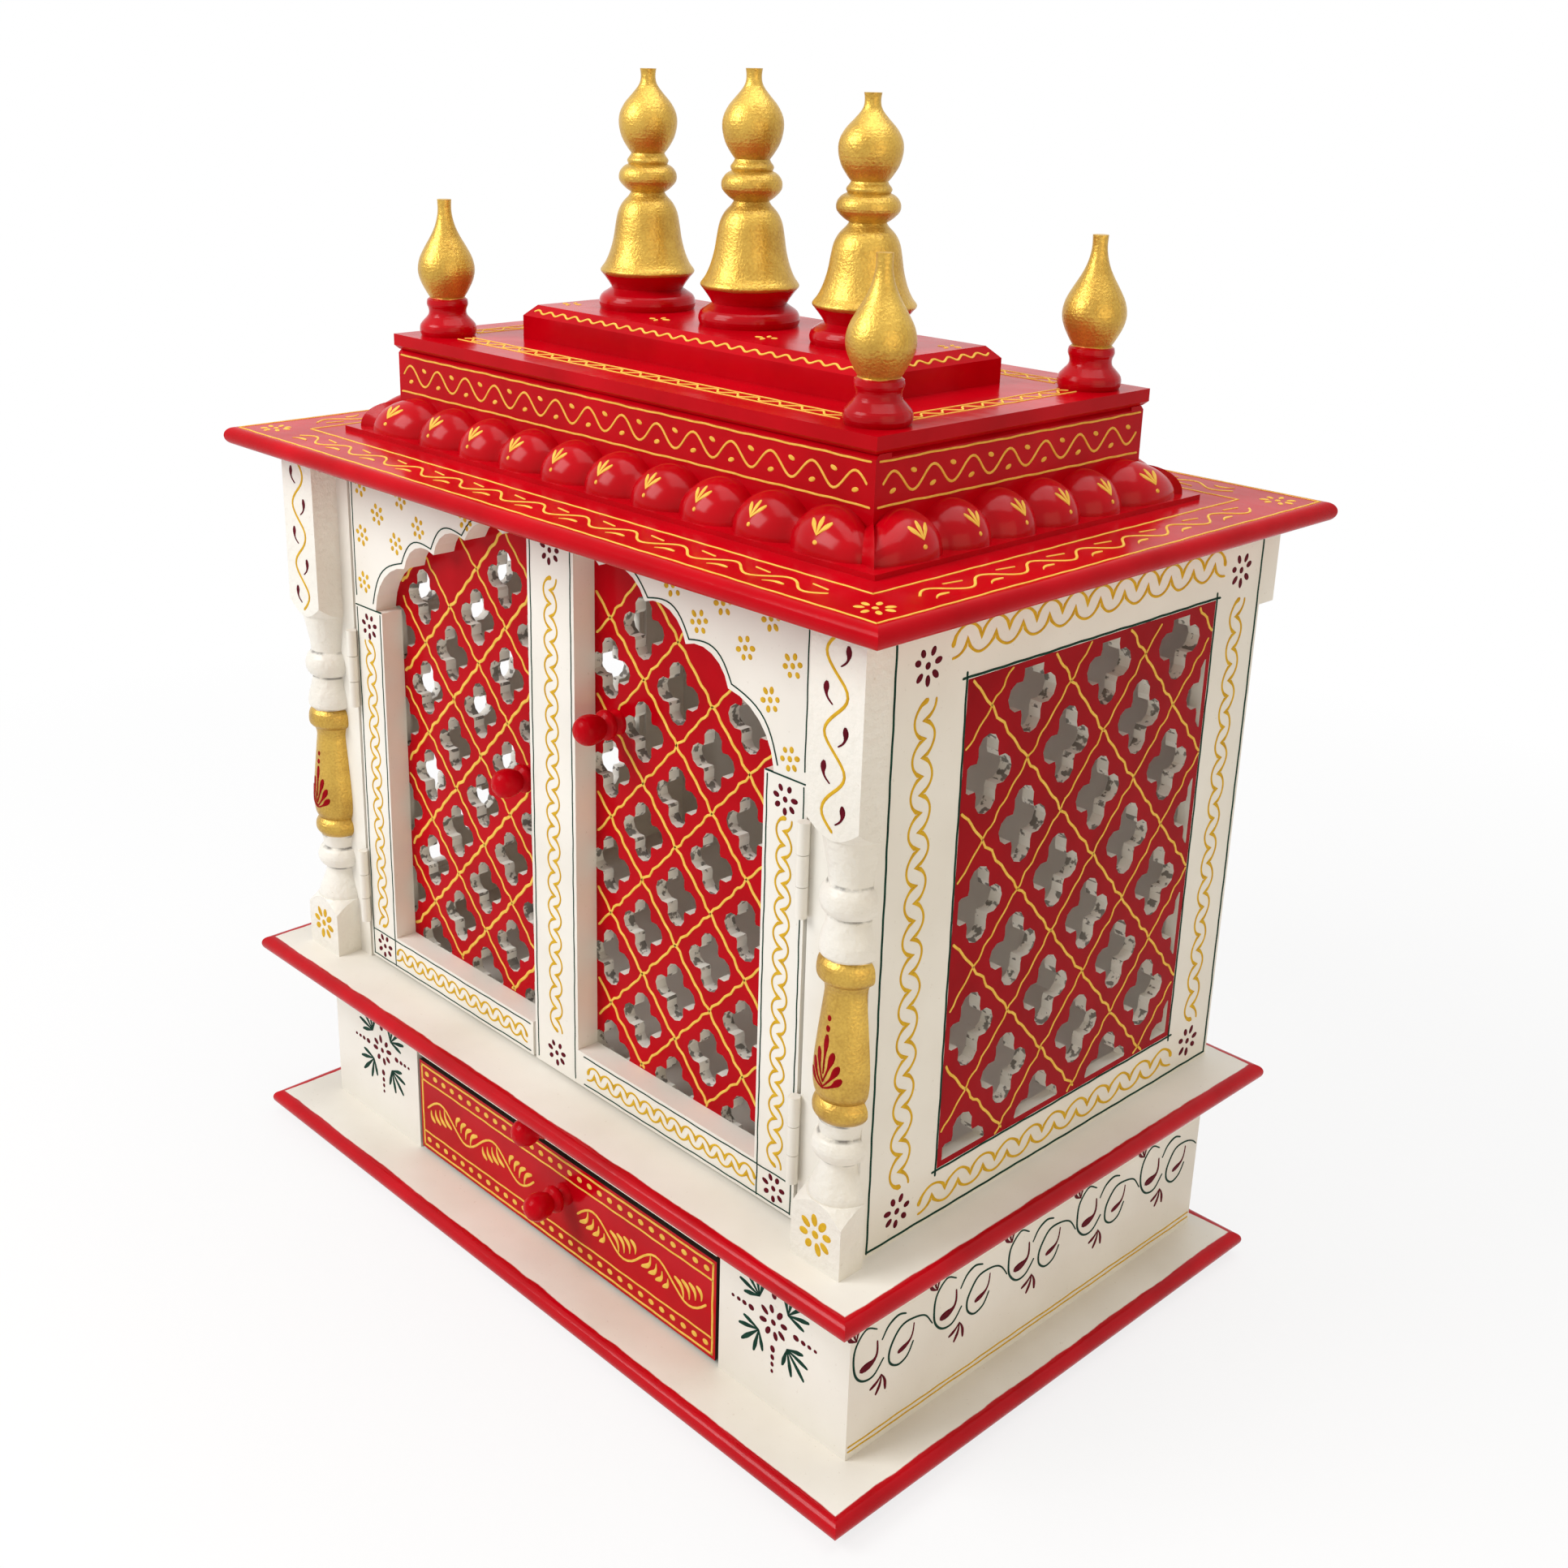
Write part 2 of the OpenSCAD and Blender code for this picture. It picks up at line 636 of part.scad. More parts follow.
module right_door_jali() { door_jali(middle_x - jali_lap); }
module right_door_knob() { knob(right_knob_x, jali_y, stile_head - right_knob_drop); }
module right_door_hinges() { color("silver") hinge_heights() door_hinge(); }
module middle_stile() {
    color(white) slab([-middle_x, body_y, door_foot], [middle_x, body_y + door_t, door_head]);
}

// Roof
module eave_board() {
    color(red) translate([0, 0, eave_z]) nosed_board(board_w, board_d, board_t);
}
module box_wall(w) {
    rotate([90, 0, 90]) linear_extrude(w, center = true)
        polygon([[0, 0], [box_t, 0], [box_t, box_h], [groove, box_h], [0, box_h - groove]]);
}
module roof_box_long() {
    color(red) for (turn = [0, 180]) rotate([0, 0, turn])
        translate([0, -box_d / 2, roof_z]) box_wall(box_w);
}
module roof_box_ends() {
    color(red) for (turn = [90, 270]) rotate([0, 0, turn])
        translate([0, -box_w / 2, roof_z]) difference() {
            box_wall(box_d);
            for (side = [-1, 1]) translate([side * box_d / 2, 0, 0])
                translate([-box_t, -1, -1]) cube([2 * box_t, box_t + 2, box_h + 2]);
        }
}
module lid_profile(w) {
    polygon([[-w / 2 + groove, 0], [w / 2 - groove, 0], [w / 2, groove], [w / 2, lid_t], [-w / 2, lid_t],
             [-w / 2, groove]]);
}
module roof_lid() {
    w = box_w + 2 * lid_over;
    d = box_d + 2 * lid_over;
    color(red) translate([0, 0, lid_z]) intersection() {
        rotate([90, 0, 0]) linear_extrude(d, center = true) lid_profile(w);
        rotate([90, 0, 90]) linear_extrude(w, center = true) lid_profile(d);
    }
}
module ridge_profile(w) {
    polygon([[-w / 2, 0], [w / 2, 0], [w / 2, ridge_h - ridge_bevel], [w / 2 - ridge_bevel, ridge_h],
             [-w / 2 + ridge_bevel, ridge_h], [-w / 2, ridge_h - ridge_bevel]]);
}
module ridge_block() {
    color(red) translate([0, 0, ridge_z]) intersection() {
        rotate([90, 0, 0]) linear_extrude(ridge_d, center = true) ridge_profile(ridge_w);
        rotate([90, 0, 90]) linear_extrude(ridge_w, center = true) ridge_profile(ridge_d);
    }
}
module kalash(place, h) {
    color(gold) translate([place * kalash_pitch, 0, kalash_z])
        rotate_extrude() polygon(turned(kalash_runs(), kalash_d / 2, h));
}
module kalash_left() { kalash(-1, kalash_left_h); }
module kalash_middle() { kalash(0, kalash_middle_h); }
module kalash_right() { kalash(1, kalash_right_h); }
module corner_finials() {
    color(gold) for (sx = [-1, 1]) for (sy = [-1, 1])
        translate([sx * (box_w / 2 + lid_over - finial_inset_x), sy * (box_d / 2 + lid_over - finial_inset_y),
                   ridge_z])
            rotate_extrude() polygon(turned(finial_runs(), finial_d / 2, finial_h));
}

// Petal moulding: a strip of domes on a thin ledge, mitred at both ends.
// s runs from -1 to 1 along the strip and f from the wall to the outer edge.
ledge_out = 1.5;
ledge_h = 3;
petal_dip = 0.66;
function petal_swell(along) = let (
    p = along / petal_pitch - 0.5,
    off = 2 * (p - round(p)))
    sqrt(1 - petal_dip * off * off);
function petal_section(swell, steps) = concat(
    [[0, 0], [petal_out + ledge_out, 0], [petal_out + ledge_out, ledge_h]],
    [for (k = [0:steps]) let (t = 90 - 90 * k / steps)
        [petal_out * swell * sin(t), ledge_h + (petal_h - ledge_h) * swell * cos(t)]]);
function petal_point(s, section, half) = let (
    out = section[0],
    fan = sign(s) * pow(abs(s), 9))
    [s * half + fan * out, -out, section[1]];
module petal_strip(length) {
    half = length / 2;
    steps_u = 2 * round(3.5 * length / petal_pitch);
    steps_v = 6;
    ring = steps_v + 4;
    sections = [for (i = [0:steps_u]) let (s = -1 + 2 * i / steps_u)
        [for (p = petal_section(petal_swell(s * (half + petal_out)), steps_v)) petal_point(s, p, half)]];
    points = [for (section = sections) each section];
    sides = [for (i = [0:steps_u - 1]) for (j = [0:ring - 1]) let (
        a = i * ring + j, b = i * ring + (j + 1) % ring, c = b + ring, d = a + ring)
        each [[a, b, c], [a, c, d]]];
    caps = [[for (j = [ring - 1:-1:0]) j], [for (j = [0:ring - 1]) steps_u * ring + j]];
    polyhedron(points, concat(sides, caps));
}
module petal_moulding_long() {
    color(red) for (turn = [0, 180]) rotate([0, 0, turn])
        translate([0, -box_d / 2, roof_z]) petal_strip(box_w);
}
module petal_moulding_ends() {
    color(red) for (turn = [90, 270]) rotate([0, 0, turn])
        translate([0, -box_w / 2, roof_z]) petal_strip(box_d);
}

feet();
base_board();
plinth_front();
plinth_sides();
plinth_back();
drawer_guides();
deck_board();
left_side_stiles();
left_side_rails();
left_side_jali();
right_side_stiles();
right_side_rails();
right_side_jali();
back_panel();
back_batten();
door_jambs();
left_pillar();
right_pillar();
hinge_plates();
eave_board();
petal_moulding_long();
petal_moulding_ends();
roof_box_long();
roof_box_ends();
roof_lid();
ridge_block();
kalash_left();
kalash_middle();
kalash_right();
corner_finials();
left_door_stile();
left_door_rail();
left_door_arch();
left_door_jali();
left_door_knob();
left_door_hinges();
right_door_stile();
right_door_rail();
right_door_arch();
right_door_jali();
right_door_knob();
right_door_hinges();
middle_stile();
drawer_front();
drawer_sides();
drawer_back();
drawer_bottom();
drawer_knob();
tray_front();
tray_board();
tray_knob();
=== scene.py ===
"""Looks of a painted wooden home shrine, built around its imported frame."""
import json
import math

import bpy
import numpy as np
from mathutils import Matrix, Vector


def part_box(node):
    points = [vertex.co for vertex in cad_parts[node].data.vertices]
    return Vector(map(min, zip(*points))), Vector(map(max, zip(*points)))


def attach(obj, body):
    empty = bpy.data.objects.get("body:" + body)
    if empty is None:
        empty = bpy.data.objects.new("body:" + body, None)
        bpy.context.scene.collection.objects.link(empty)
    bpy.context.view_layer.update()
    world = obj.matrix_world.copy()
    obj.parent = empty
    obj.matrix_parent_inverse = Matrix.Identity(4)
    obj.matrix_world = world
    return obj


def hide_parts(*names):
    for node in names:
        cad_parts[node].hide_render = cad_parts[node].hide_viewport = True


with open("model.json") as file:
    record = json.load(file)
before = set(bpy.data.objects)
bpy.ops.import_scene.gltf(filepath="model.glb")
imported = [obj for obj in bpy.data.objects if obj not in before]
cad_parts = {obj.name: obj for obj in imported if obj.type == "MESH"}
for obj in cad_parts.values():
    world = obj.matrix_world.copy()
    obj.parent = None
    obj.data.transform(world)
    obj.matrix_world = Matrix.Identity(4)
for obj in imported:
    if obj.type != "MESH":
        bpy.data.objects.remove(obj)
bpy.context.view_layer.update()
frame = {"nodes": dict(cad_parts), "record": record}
MM = 0.001


# Camera and light
PHOTO_SIDE = 1932
FOCAL_PX = 2263.3
PRINCIPAL_PX = (911.3, 872.3)
SENSOR_MM = 36
CAMERA_AT = (0.8451, -0.8077, 0.7892)
CAMERA_TURN = math.radians(46.33)
CAMERA_DROP = math.radians(19.66)
CAMERA_ROLL = math.radians(1.22)

# Name, place in metres, size in metres, power in watts and colour of each lamp
WHITE = (1, 1, 1)
WARM = (1.0, 0.81, 0.52)
LAMPS = (
    ("key_lamp", (-1.05, -2.15, 2.2), 1.6, 67, WHITE),
    ("fill_lamp", (2.6, -0.6, 0.9), 2.0, 18, WARM),
    ("top_lamp", (0.2, 0.3, 2.8), 2.2, 42, WHITE),
)
LAMP_AIM = (0, 0, 0.4)
WORLD_LIGHT = 0.28


def place_camera():
    """Puts the camera where the photograph was taken from."""
    data = bpy.data.cameras.new("camera")
    data.sensor_width = SENSOR_MM
    data.lens = SENSOR_MM * FOCAL_PX / PHOTO_SIDE
    data.shift_x = 0.5 - PRINCIPAL_PX[0] / PHOTO_SIDE
    data.shift_y = PRINCIPAL_PX[1] / PHOTO_SIDE - 0.5
    camera = bpy.data.objects.new("camera", data)
    bpy.context.collection.objects.link(camera)
    turn, drop = CAMERA_TURN, CAMERA_DROP
    ahead = Vector((-math.sin(turn) * math.cos(drop), math.cos(turn) * math.cos(drop), -math.sin(drop)))
    right = Vector((math.cos(turn), math.sin(turn), 0))
    up = right.cross(ahead)
    level = Matrix((right, up, -ahead)).transposed()
    rolled = level @ Matrix.Rotation(CAMERA_ROLL, 3, "Z")
    camera.matrix_world = Matrix.Translation(CAMERA_AT) @ rolled.to_4x4()
    bpy.context.scene.camera = camera


def light_studio():
    """Lights the shrine as in the photograph: bright from the front left, softer on its right side."""
    for name, at, size, power, colour in LAMPS:
        data = bpy.data.lights.new(name, "AREA")
        data.size = size
        data.energy = power
        data.color = colour
        lamp = bpy.data.objects.new(name, data)
        bpy.context.collection.objects.link(lamp)
        lamp.location = at
        lamp.rotation_mode = "QUATERNION"
        lamp.rotation_quaternion = (Vector(LAMP_AIM) - Vector(at)).to_track_quat("-Z", "Y")
    bpy.context.scene.view_settings.view_transform = "Standard"


def hang_backdrop():
    """A world that gives a soft light and is plain white to look at."""
    world = bpy.data.worlds.new("studio")
    bpy.context.scene.world = world
    world.use_nodes = True
    backdrop = Shading(world.node_tree)
    light = backdrop.node("ShaderNodeBackground", None, Color=WHITE, Strength=WORLD_LIGHT)
    white = backdrop.node("ShaderNodeBackground", None, Color=WHITE, Strength=1.0)
    backdrop.show(backdrop.seen(), light, white, "World Output")


# Shader maths
BUMP = 0.6


class Wire:
    """A shader socket that can stand in a Python expression."""

    def __init__(self, shading, socket):
        self.shading = shading
        self.socket = socket

    def __add__(self, other):
        return self.shading.math("ADD", self, other)

    def __sub__(self, other):
        return self.shading.math("SUBTRACT", self, other)

    def __rsub__(self, other):
        return self.shading.math("SUBTRACT", other, self)

    def __mul__(self, other):
        return self.shading.math("MULTIPLY", self, other)

    def __abs__(self):
        return self.shading.math("ABSOLUTE", self)

    def max(self, other):
        return self.shading.math("MAXIMUM", self, other)

    def ramp(self, low, high):
        """0 below low and 1 above high, with a straight slope between."""
        return self.shading.math("MULTIPLY", self - low, 1 / (high - low), clamp=True)

    __radd__ = __add__
    __rmul__ = __mul__


class Shading:
    """The nodes of a material or of the world."""

    def __init__(self, tree):
        self.tree = tree

    def plug(self, socket, value):
        """Sets a socket to a number, a colour or a link."""
        if isinstance(value, Wire):
            self.tree.links.new(value.socket, socket)
        elif isinstance(value, tuple) and socket.type == "RGBA":
            socket.default_value = (*value, 1)
        else:
            socket.default_value = value

    def node(self, kind, settings=None, **values):
        """Adds a node: its settings first, then its sockets, with _ for a space in a socket's name."""
        node = self.tree.nodes.new(kind)
        for name, value in (settings or {}).items():
            setattr(node, name, value)
        for name, value in values.items():
            self.plug(node.inputs[name.replace("_", " ")], value)
        return node

    def math(self, operation, *terms, clamp=False):
        """One step of arithmetic on wires and numbers."""
        node = self.node("ShaderNodeMath", {"operation": operation, "use_clamp": clamp})
        for socket, term in zip(node.inputs, terms):
            self.plug(socket, term)
        return Wire(self, node.outputs[0])

    def mix(self, mask, low, high):
        """A colour between low and high."""
        node = self.node("ShaderNodeMix", {"data_type": "RGBA"})
        colours = [socket for socket in node.inputs if socket.type == "RGBA"]
        self.plug(node.inputs[0], mask)
        self.plug(colours[0], low)
        self.plug(colours[1], high)
        return Wire(self, [socket for socket in node.outputs if socket.type == "RGBA"][0])

    def seen(self):
        """1 to the camera, in reflections and through glass, and 0 to the light that falls on things."""
        path = self.node("ShaderNodeLightPath")
        kinds = ("Is Camera Ray", "Is Glossy Ray", "Is Transmission Ray")
        camera, mirrored, through = (Wire(self, path.outputs[kind]) for kind in kinds)
        return camera.max(mirrored).max(through)

    def show(self, mask, under, top, output):
        """Shows the under shader where the mask is 0 and the top one where it is 1."""
        blend = self.node("ShaderNodeMixShader")
        self.plug(blend.inputs[0], mask)
        self.plug(blend.inputs[1], Wire(self, under.outputs[0]))
        self.plug(blend.inputs[2], Wire(self, top.outputs[0]))
        self.plug(self.tree.nodes[output].inputs["Surface"], Wire(self, blend.outputs[0]))


class Finish(Shading):
    """A procedural material, with its Principled shader."""

    def __init__(self, name, shine=0.5):
        self.material = bpy.data.materials.new(name)
        self.material.use_nodes = True
        super().__init__(self.material.node_tree)
        self.shine = shine
        self.shader = self.tree.nodes["Principled BSDF"]
        self.coords = self.node("ShaderNodeTexCoord")

    def axes(self, output="Object"):
        """The three coordinates of the surface, or of its normal, as wires."""
        parts = self.node("ShaderNodeSeparateXYZ", None, Vector=Wire(self, self.coords.outputs[output]))
        return [Wire(self, socket) for socket in parts.outputs]

    def noise(self, scale, detail=3.0, stretch=(1, 1, 1)):
        """Noise of about that many blotches to a metre, stretched along the axes."""
        place = Wire(self, self.coords.outputs["Object"])
        mapped = self.node("ShaderNodeMapping", None, Vector=place, Scale=stretch)
        texture = self.node("ShaderNodeTexNoise", None, Scale=scale, Detail=detail,
                            Vector=Wire(self, mapped.outputs[0]))
        return Wire(self, texture.outputs["Fac"])

    def wear(self, coat):
        """Puts a coat, a dictionary of colour, roughness, metal, gloss and relief, on the surface."""
        self.plug(self.shader.inputs["Base Color"], coat["colour"])
        self.plug(self.shader.inputs["Roughness"], coat["rough"])
        self.plug(self.shader.inputs["Metallic"], coat["metal"])
        self.plug(self.shader.inputs["Coat Weight"], coat["gloss"])
        self.plug(self.shader.inputs["Specular IOR Level"], self.shine)
        bump = self.node("ShaderNodeBump", None, Strength=BUMP, Distance=MM, Height=coat["relief"])
        self.plug(self.shader.inputs["Normal"], Wire(self, bump.outputs[0]))
        return self.material

    def over(self, mask, under, top):
        """The under coat where the mask is 0 and the top coat where it is 1."""
        blended = {"colour": self.mix(mask, under["colour"], top["colour"])}
        for part in ("rough", "metal", "gloss", "relief"):
            same = under[part] == top[part]
            blended[part] = top[part] if same else mask * top[part] + (1 - mask) * under[part]
        return blended


# Coats of paint
CREAM = (0.86, 0.83, 0.76)
CREAM_THIN = (0.78, 0.74, 0.66)
GRIME = (0.55, 0.48, 0.38)
CRIMSON = (0.54, 0.0005, 0.007)
CRIMSON_DEEP = (0.40, 0.0003, 0.004)
GOLD = (0.64, 0.41, 0.075)
GOLD_DARK = (0.42, 0.235, 0.037)
# Near-black and a paler mix of it, for painted shade in grooves, gaps and cut edges
SHADE_BLACK = (0.020, 0.012, 0.010)
SHADE_BLACK_PALE = (0.045, 0.028, 0.020)
PINE = (0.60, 0.42, 0.24)
PINE_DARK = (0.44, 0.27, 0.13)
PAD = (0.018, 0.016, 0.014)
PAD_PALE = (0.035, 0.030, 0.026)

# Heights of the pillars' grooves over the deck, in millimetres
PILLAR_GROOVES = (65, 81, 90.5, 189.5, 213, 231.5)

# Half the width over which one paint gives way to another, in metres
PAINT_EDGE = 0.0003

# How squarely a normal faces outward, from the cut edge of a panel to its face
CUT_TO_FACE = (0.55, 0.75)


def cream_coat(finish):
    """White enamel brushed on by hand, thin here and there and a little soiled."""
    streaks = finish.noise(160, 4, (1, 1, 0.08))
    cloud = finish.noise(14, 3)
    specks = finish.noise(420, 2).ramp(0.70, 0.78)
    thin = finish.mix(cloud.ramp(0.35, 0.75), CREAM, CREAM_THIN)
    return {
        "colour": finish.mix(specks * 0.35, thin, GRIME),
        "rough": streaks * 0.22 + 0.30,
        "metal": 0.0,
        "gloss": 0.12,
        "relief": streaks * 0.16 + finish.noise(60, 2) * 0.25,
    }


def daubed_coat(finish):
    """White enamel laid on thick over the turned pillars, with painted shade darkening their grooves."""
    coat = cream_coat(finish)
    coat["relief"] = coat["relief"] + finish.noise(190, 5) * 2.2
    height = finish.axes()[2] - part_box("deck_board")[1].z
    narrow, wide = 0.0003, 0.0013
    groove = sum(1 - abs(height - z * MM).ramp(narrow, wide) for z in PILLAR_GROOVES)
    # Painted shade: near-black in patches along the grooves, where shade falls
    groove_shade = groove * finish.noise(110, 4).ramp(0.42, 0.60)
    coat["colour"] = finish.mix(groove_shade * 0.7, coat["colour"], SHADE_BLACK)
    return coat


def crimson_coat(finish, tone=1.0):
    """Deep red gloss enamel with brush marks, darker with a lower tone."""
    cloud = finish.noise(22, 4)
    streaks = finish.noise(140, 3, (0.12, 1, 1))
    bright, deep = (tuple(tone * part for part in colour) for colour in (CRIMSON, CRIMSON_DEEP))
    return {
        "colour": finish.mix(cloud.ramp(0.3, 0.75), bright, deep),
        "rough": cloud * 0.16 + 0.10,
        "metal": 0.0,
        "gloss": 0.01,
        "relief": streaks * 0.14 + finish.noise(70, 2) * 0.35,
    }


def gold_coat(finish):
    """Metallic gold paint with the grain of the wood and the brush under it."""
    grain = finish.noise(650, 4)
    cloud = finish.noise(45, 4)
    return {
        "colour": finish.mix((cloud * 0.55 + grain * 0.45).ramp(0.40, 0.68), GOLD, GOLD_DARK),
        "rough": grain * 0.24 + 0.24,
        "metal": 0.70,
        "gloss": 0.10,
        "relief": grain * 0.7 + finish.noise(110, 4, (1, 1, 0.3)) * 0.9,
    }


def pine_coat(finish):
    """Bare planed wood."""
    rings = finish.noise(60, 5, (0.12, 1, 1.4))
    return {
        "colour": finish.mix(rings.ramp(0.35, 0.7), PINE, PINE_DARK),
        "rough": rings * 0.2 + 0.55,
        "metal": 0.0,
        "gloss": 0.0,
        "relief": rings * 0.3,
    }


def shade_coat(finish):
    """Near-black painted shade on wood, where shade falls in gaps, grooves and rough cut edges."""
    cloud = finish.noise(90, 3)
    return {
        "colour": finish.mix(cloud, SHADE_BLACK, SHADE_BLACK_PALE),
        "rough": cloud * 0.2 + 0.6,
        "metal": 0.0,
        "gloss": 0.0,
        "relief": cloud * 0.2,
    }


def plain(name, coat, shine=0.5):
    """One coat all over."""
    finish = Finish(name, shine)
    return finish.wear(coat(finish))


def two_tone(name, lower, upper, height):
    """One coat up to a height and another above it, with a line drawn by hand between them."""
    finish = Finish(name, shine=0.16)
    wander = 0.0032
    z = finish.axes()[2] + (finish.noise(45, 2) - 0.5) * wander
    mask = z.ramp(height - PAINT_EDGE, height + PAINT_EDGE)
    return finish.wear(finish.over(mask, lower(finish), upper(finish)))


def banded(name, outer, inner, low, high):
    """The inner coat between two heights and the outer coat above and below."""
    finish = Finish(name)
    wander = 0.002
    z = finish.axes()[2] + (finish.noise(60, 2) - 0.5) * wander
    mask = z.ramp(low - PAINT_EDGE, low + PAINT_EDGE) - z.ramp(high - PAINT_EDGE, high + PAINT_EDGE)
    return finish.wear(finish.over(mask, outer(finish), inner(finish)))


def red_nosed(name, node):
    """Cream on the flat of a board and red on its nose, with a brushed edge."""
    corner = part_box(node)[1]
    finish = Finish(name, shine=0.16)
    x, y, _ = finish.axes()
    nose, wander, blur = 7.5 * MM, 0.004, 0.0004
    edge = (finish.noise(35, 4) - 0.5) * wander
    beyond_x = abs(x) - (corner.x - nose)
    beyond_y = abs(y) - (corner.y - nose)
    mask = (beyond_x.max(beyond_y) + edge).ramp(-blur, blur)
    return finish.wear(finish.over(mask, cream_coat(finish), crimson_coat(finish)))


def pierced(name, axis, outward, tone):
    """Red on the outer face of a pierced panel, cream inside and on the cut edges, with patches of painted
    shade on the cut edges.
    """
    finish = Finish(name, shine=0.04)
    normal = finish.axes("Normal")
    facing = normal[axis] * outward
    rim = abs(normal[1 - axis]).max(abs(normal[2])).ramp(0.97, 0.99)
    cut = (1 - abs(facing).ramp(*CUT_TO_FACE)) * (1 - rim)
    # Painted shade: near-black patches on the cut edges, standing for the shadows in their rough surface;
    # depth is how dark they get
    depth = 0.75
    cut_shade = cut * finish.noise(170, 5).ramp(0.51, 0.56) * depth
    inner = finish.over(cut_shade, cream_coat(finish), shade_coat(finish))
    return finish.wear(finish.over(facing.ramp(*CUT_TO_FACE), inner, crimson_coat(finish, tone)))


def shade_edged(name):
    """Red on the face of a drawer front, with near-black painted shade on its edges in the gap round it."""
    finish = Finish(name, shine=0.08)
    facing = abs(finish.axes("Normal")[1])
    # Painted shade: the edges of the front, which look into the gap round the drawer, are near-black
    return finish.wear(finish.over(facing.ramp(0.5, 0.7), shade_coat(finish), crimson_coat(finish)))


def line_paint(name, colour, shade):
    """Thick paint laid on in a bead."""
    finish = Finish(name, shine=0.06)
    cloud = finish.noise(220, 3)
    return finish.wear({
        "colour": finish.mix(cloud.ramp(0.35, 0.75), colour, shade),
        "rough": cloud * 0.2 + 0.4,
        "metal": 0.0,
        "gloss": 0.0,
        "relief": cloud * 0.2,
    })


def dark_pad(name):
    """Matt dark rubber with a fine grain."""
    finish = Finish(name)
    return finish.wear({
        "colour": finish.mix(finish.noise(300), PAD, PAD_PALE),
        "rough": finish.noise(500) * 0.2 + 0.65,
        "metal": 0.0,
        "gloss": 0.0,
        "relief": finish.noise(700) * 0.4,
    })


def dress_frame():
    """Gives every node of the frame its finish."""
    lid_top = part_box("roof_lid")[1].z
    deck_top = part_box("deck_board")[1].z
    # Where gold starts: over the lid, over the deck and as a share of a kalash's height
    finial_neck = 24.5 * MM
    vase_foot, vase_head = 91 * MM, 189 * MM
    kalash_lip = 0.147
    # How bright the red of the pierced panels is; the side panels are darker as painted shade, for the
    # sides that lie in shade
    side_shade_tone, door_tone = 0.68, 0.92
    finial = two_tone("finial_paint", crimson_coat, gold_coat, lid_top + finial_neck)
    pillar = banded("pillar_paint", daubed_coat, gold_coat, deck_top + vase_foot, deck_top + vase_head)
    cream = plain("cream_enamel", cream_coat)
    crimson = plain("crimson_enamel", crimson_coat, shine=0.06)
    petals = plain("petal_enamel", crimson_coat, shine=0.14)
    pine = plain("bare_pine", pine_coat)
    special = {
        "feet": dark_pad("foot_pad"),
        "base_board": red_nosed("base_board_paint", "base_board"),
        "deck_board": red_nosed("deck_board_paint", "deck_board"),
        "left_pillar": pillar,
        "right_pillar": pillar,
        "drawer_front": shade_edged("drawer_front_paint"),
        "corner_finials": finial,
        "petal_moulding_long": petals,
        "petal_moulding_ends": petals,
        "left_side_jali": pierced("left_side_jali_paint", 0, -1, side_shade_tone),
        "right_side_jali": pierced("right_side_jali_paint", 0, 1, side_shade_tone),
        "left_door_jali": pierced("left_door_jali_paint", 1, -1, door_tone),
        "right_door_jali": pierced("right_door_jali_paint", 1, -1, door_tone),
    }
    for place in ("left", "middle", "right"):
        low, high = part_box(f"kalash_{place}")
        lip = low.z + kalash_lip * (high.z - low.z)
        special[f"kalash_{place}"] = two_tone(f"kalash_{place}_paint", crimson_coat, gold_coat, lip)
    by_slot = {"white_paint": cream, "red_paint": crimson, "bare_wood": pine, "hinge_metal": cream}
    slots = {part["node"]: part["material_slot"] for part in frame["record"]["subparts"]}
    for node, piece in frame["nodes"].items():
        finish = special.get(node) or by_slot[slots[node]]
        piece.data.materials.clear()
        piece.data.materials.append(finish)


place_camera()
light_studio()
hang_backdrop()
dress_frame()


# Brushwork: hand-laid strokes as thin closed beads of paint, measured in millimetres.
# A sheet maps (u, v) on a painted face, and a height h above it, to a point of the shrine.
# PROUD and SUNK are how far a bead stands out of its face and reaches into it.
# LEAF and COMMA give the width of a drop along its length.
PROUD = 0.35
SUNK = 0.25
LEAF = (0, 0.3, 0.72, 1), (0.18, 0.55, 1.0, 0.6)
COMMA = (0, 0.5, 0.84, 1), (0.2, 0.34, 1.0, 0.75)
dice = np.random.default_rng(11)

# Colour, shade and material slot of each line paint
LINE_PAINTS = {
    "ochre": ((0.70, 0.43, 0.025), (0.56, 0.31, 0.015), "gold_paint"),
    "straw": ((0.88, 0.58, 0.11), (0.76, 0.45, 0.06), "gold_paint"),
    "maroon": ((0.12, 0.001, 0.010), (0.07, 0.0006, 0.006), "red_paint"),
    "green": ((0.006, 0.05, 0.03), (0.003, 0.022, 0.016), "white_paint"),
    "crimson": ((0.32, 0.0005, 0.006), (0.22, 0.0003, 0.004), "red_paint"),
}


def mm_box(node):
    """The low and high corners of a node, in millimetres."""
    low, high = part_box(node)
    return np.array(low) / MM, np.array(high) / MM


def front(y):
    """The sheet of a face that looks to the front: u to the right, v up."""
    return lambda u, v, h: np.stack([u, y - h + 0 * u, v], axis=-1)


def side(x, out):
    """The sheet of a side face, out to the right (1) or the left (-1): u to the back, v up."""
    return lambda u, v, h: np.stack([out * (x + h) + 0 * u, u, v], axis=-1)


def top(z):
    """The sheet of a face that looks up: u to the right, v to the back."""
    return lambda u, v, h: np.stack([u, v, z + h + 0 * u], axis=-1)


def bevel(y, z):
    """The sheet of a 45 degree bevel over a front face: u to the right, v up the slope."""
    slope = math.sqrt(0.5)
    return lambda u, v, h: np.stack([u, y + (v - h) * slope, z + (v + h) * slope], axis=-1)


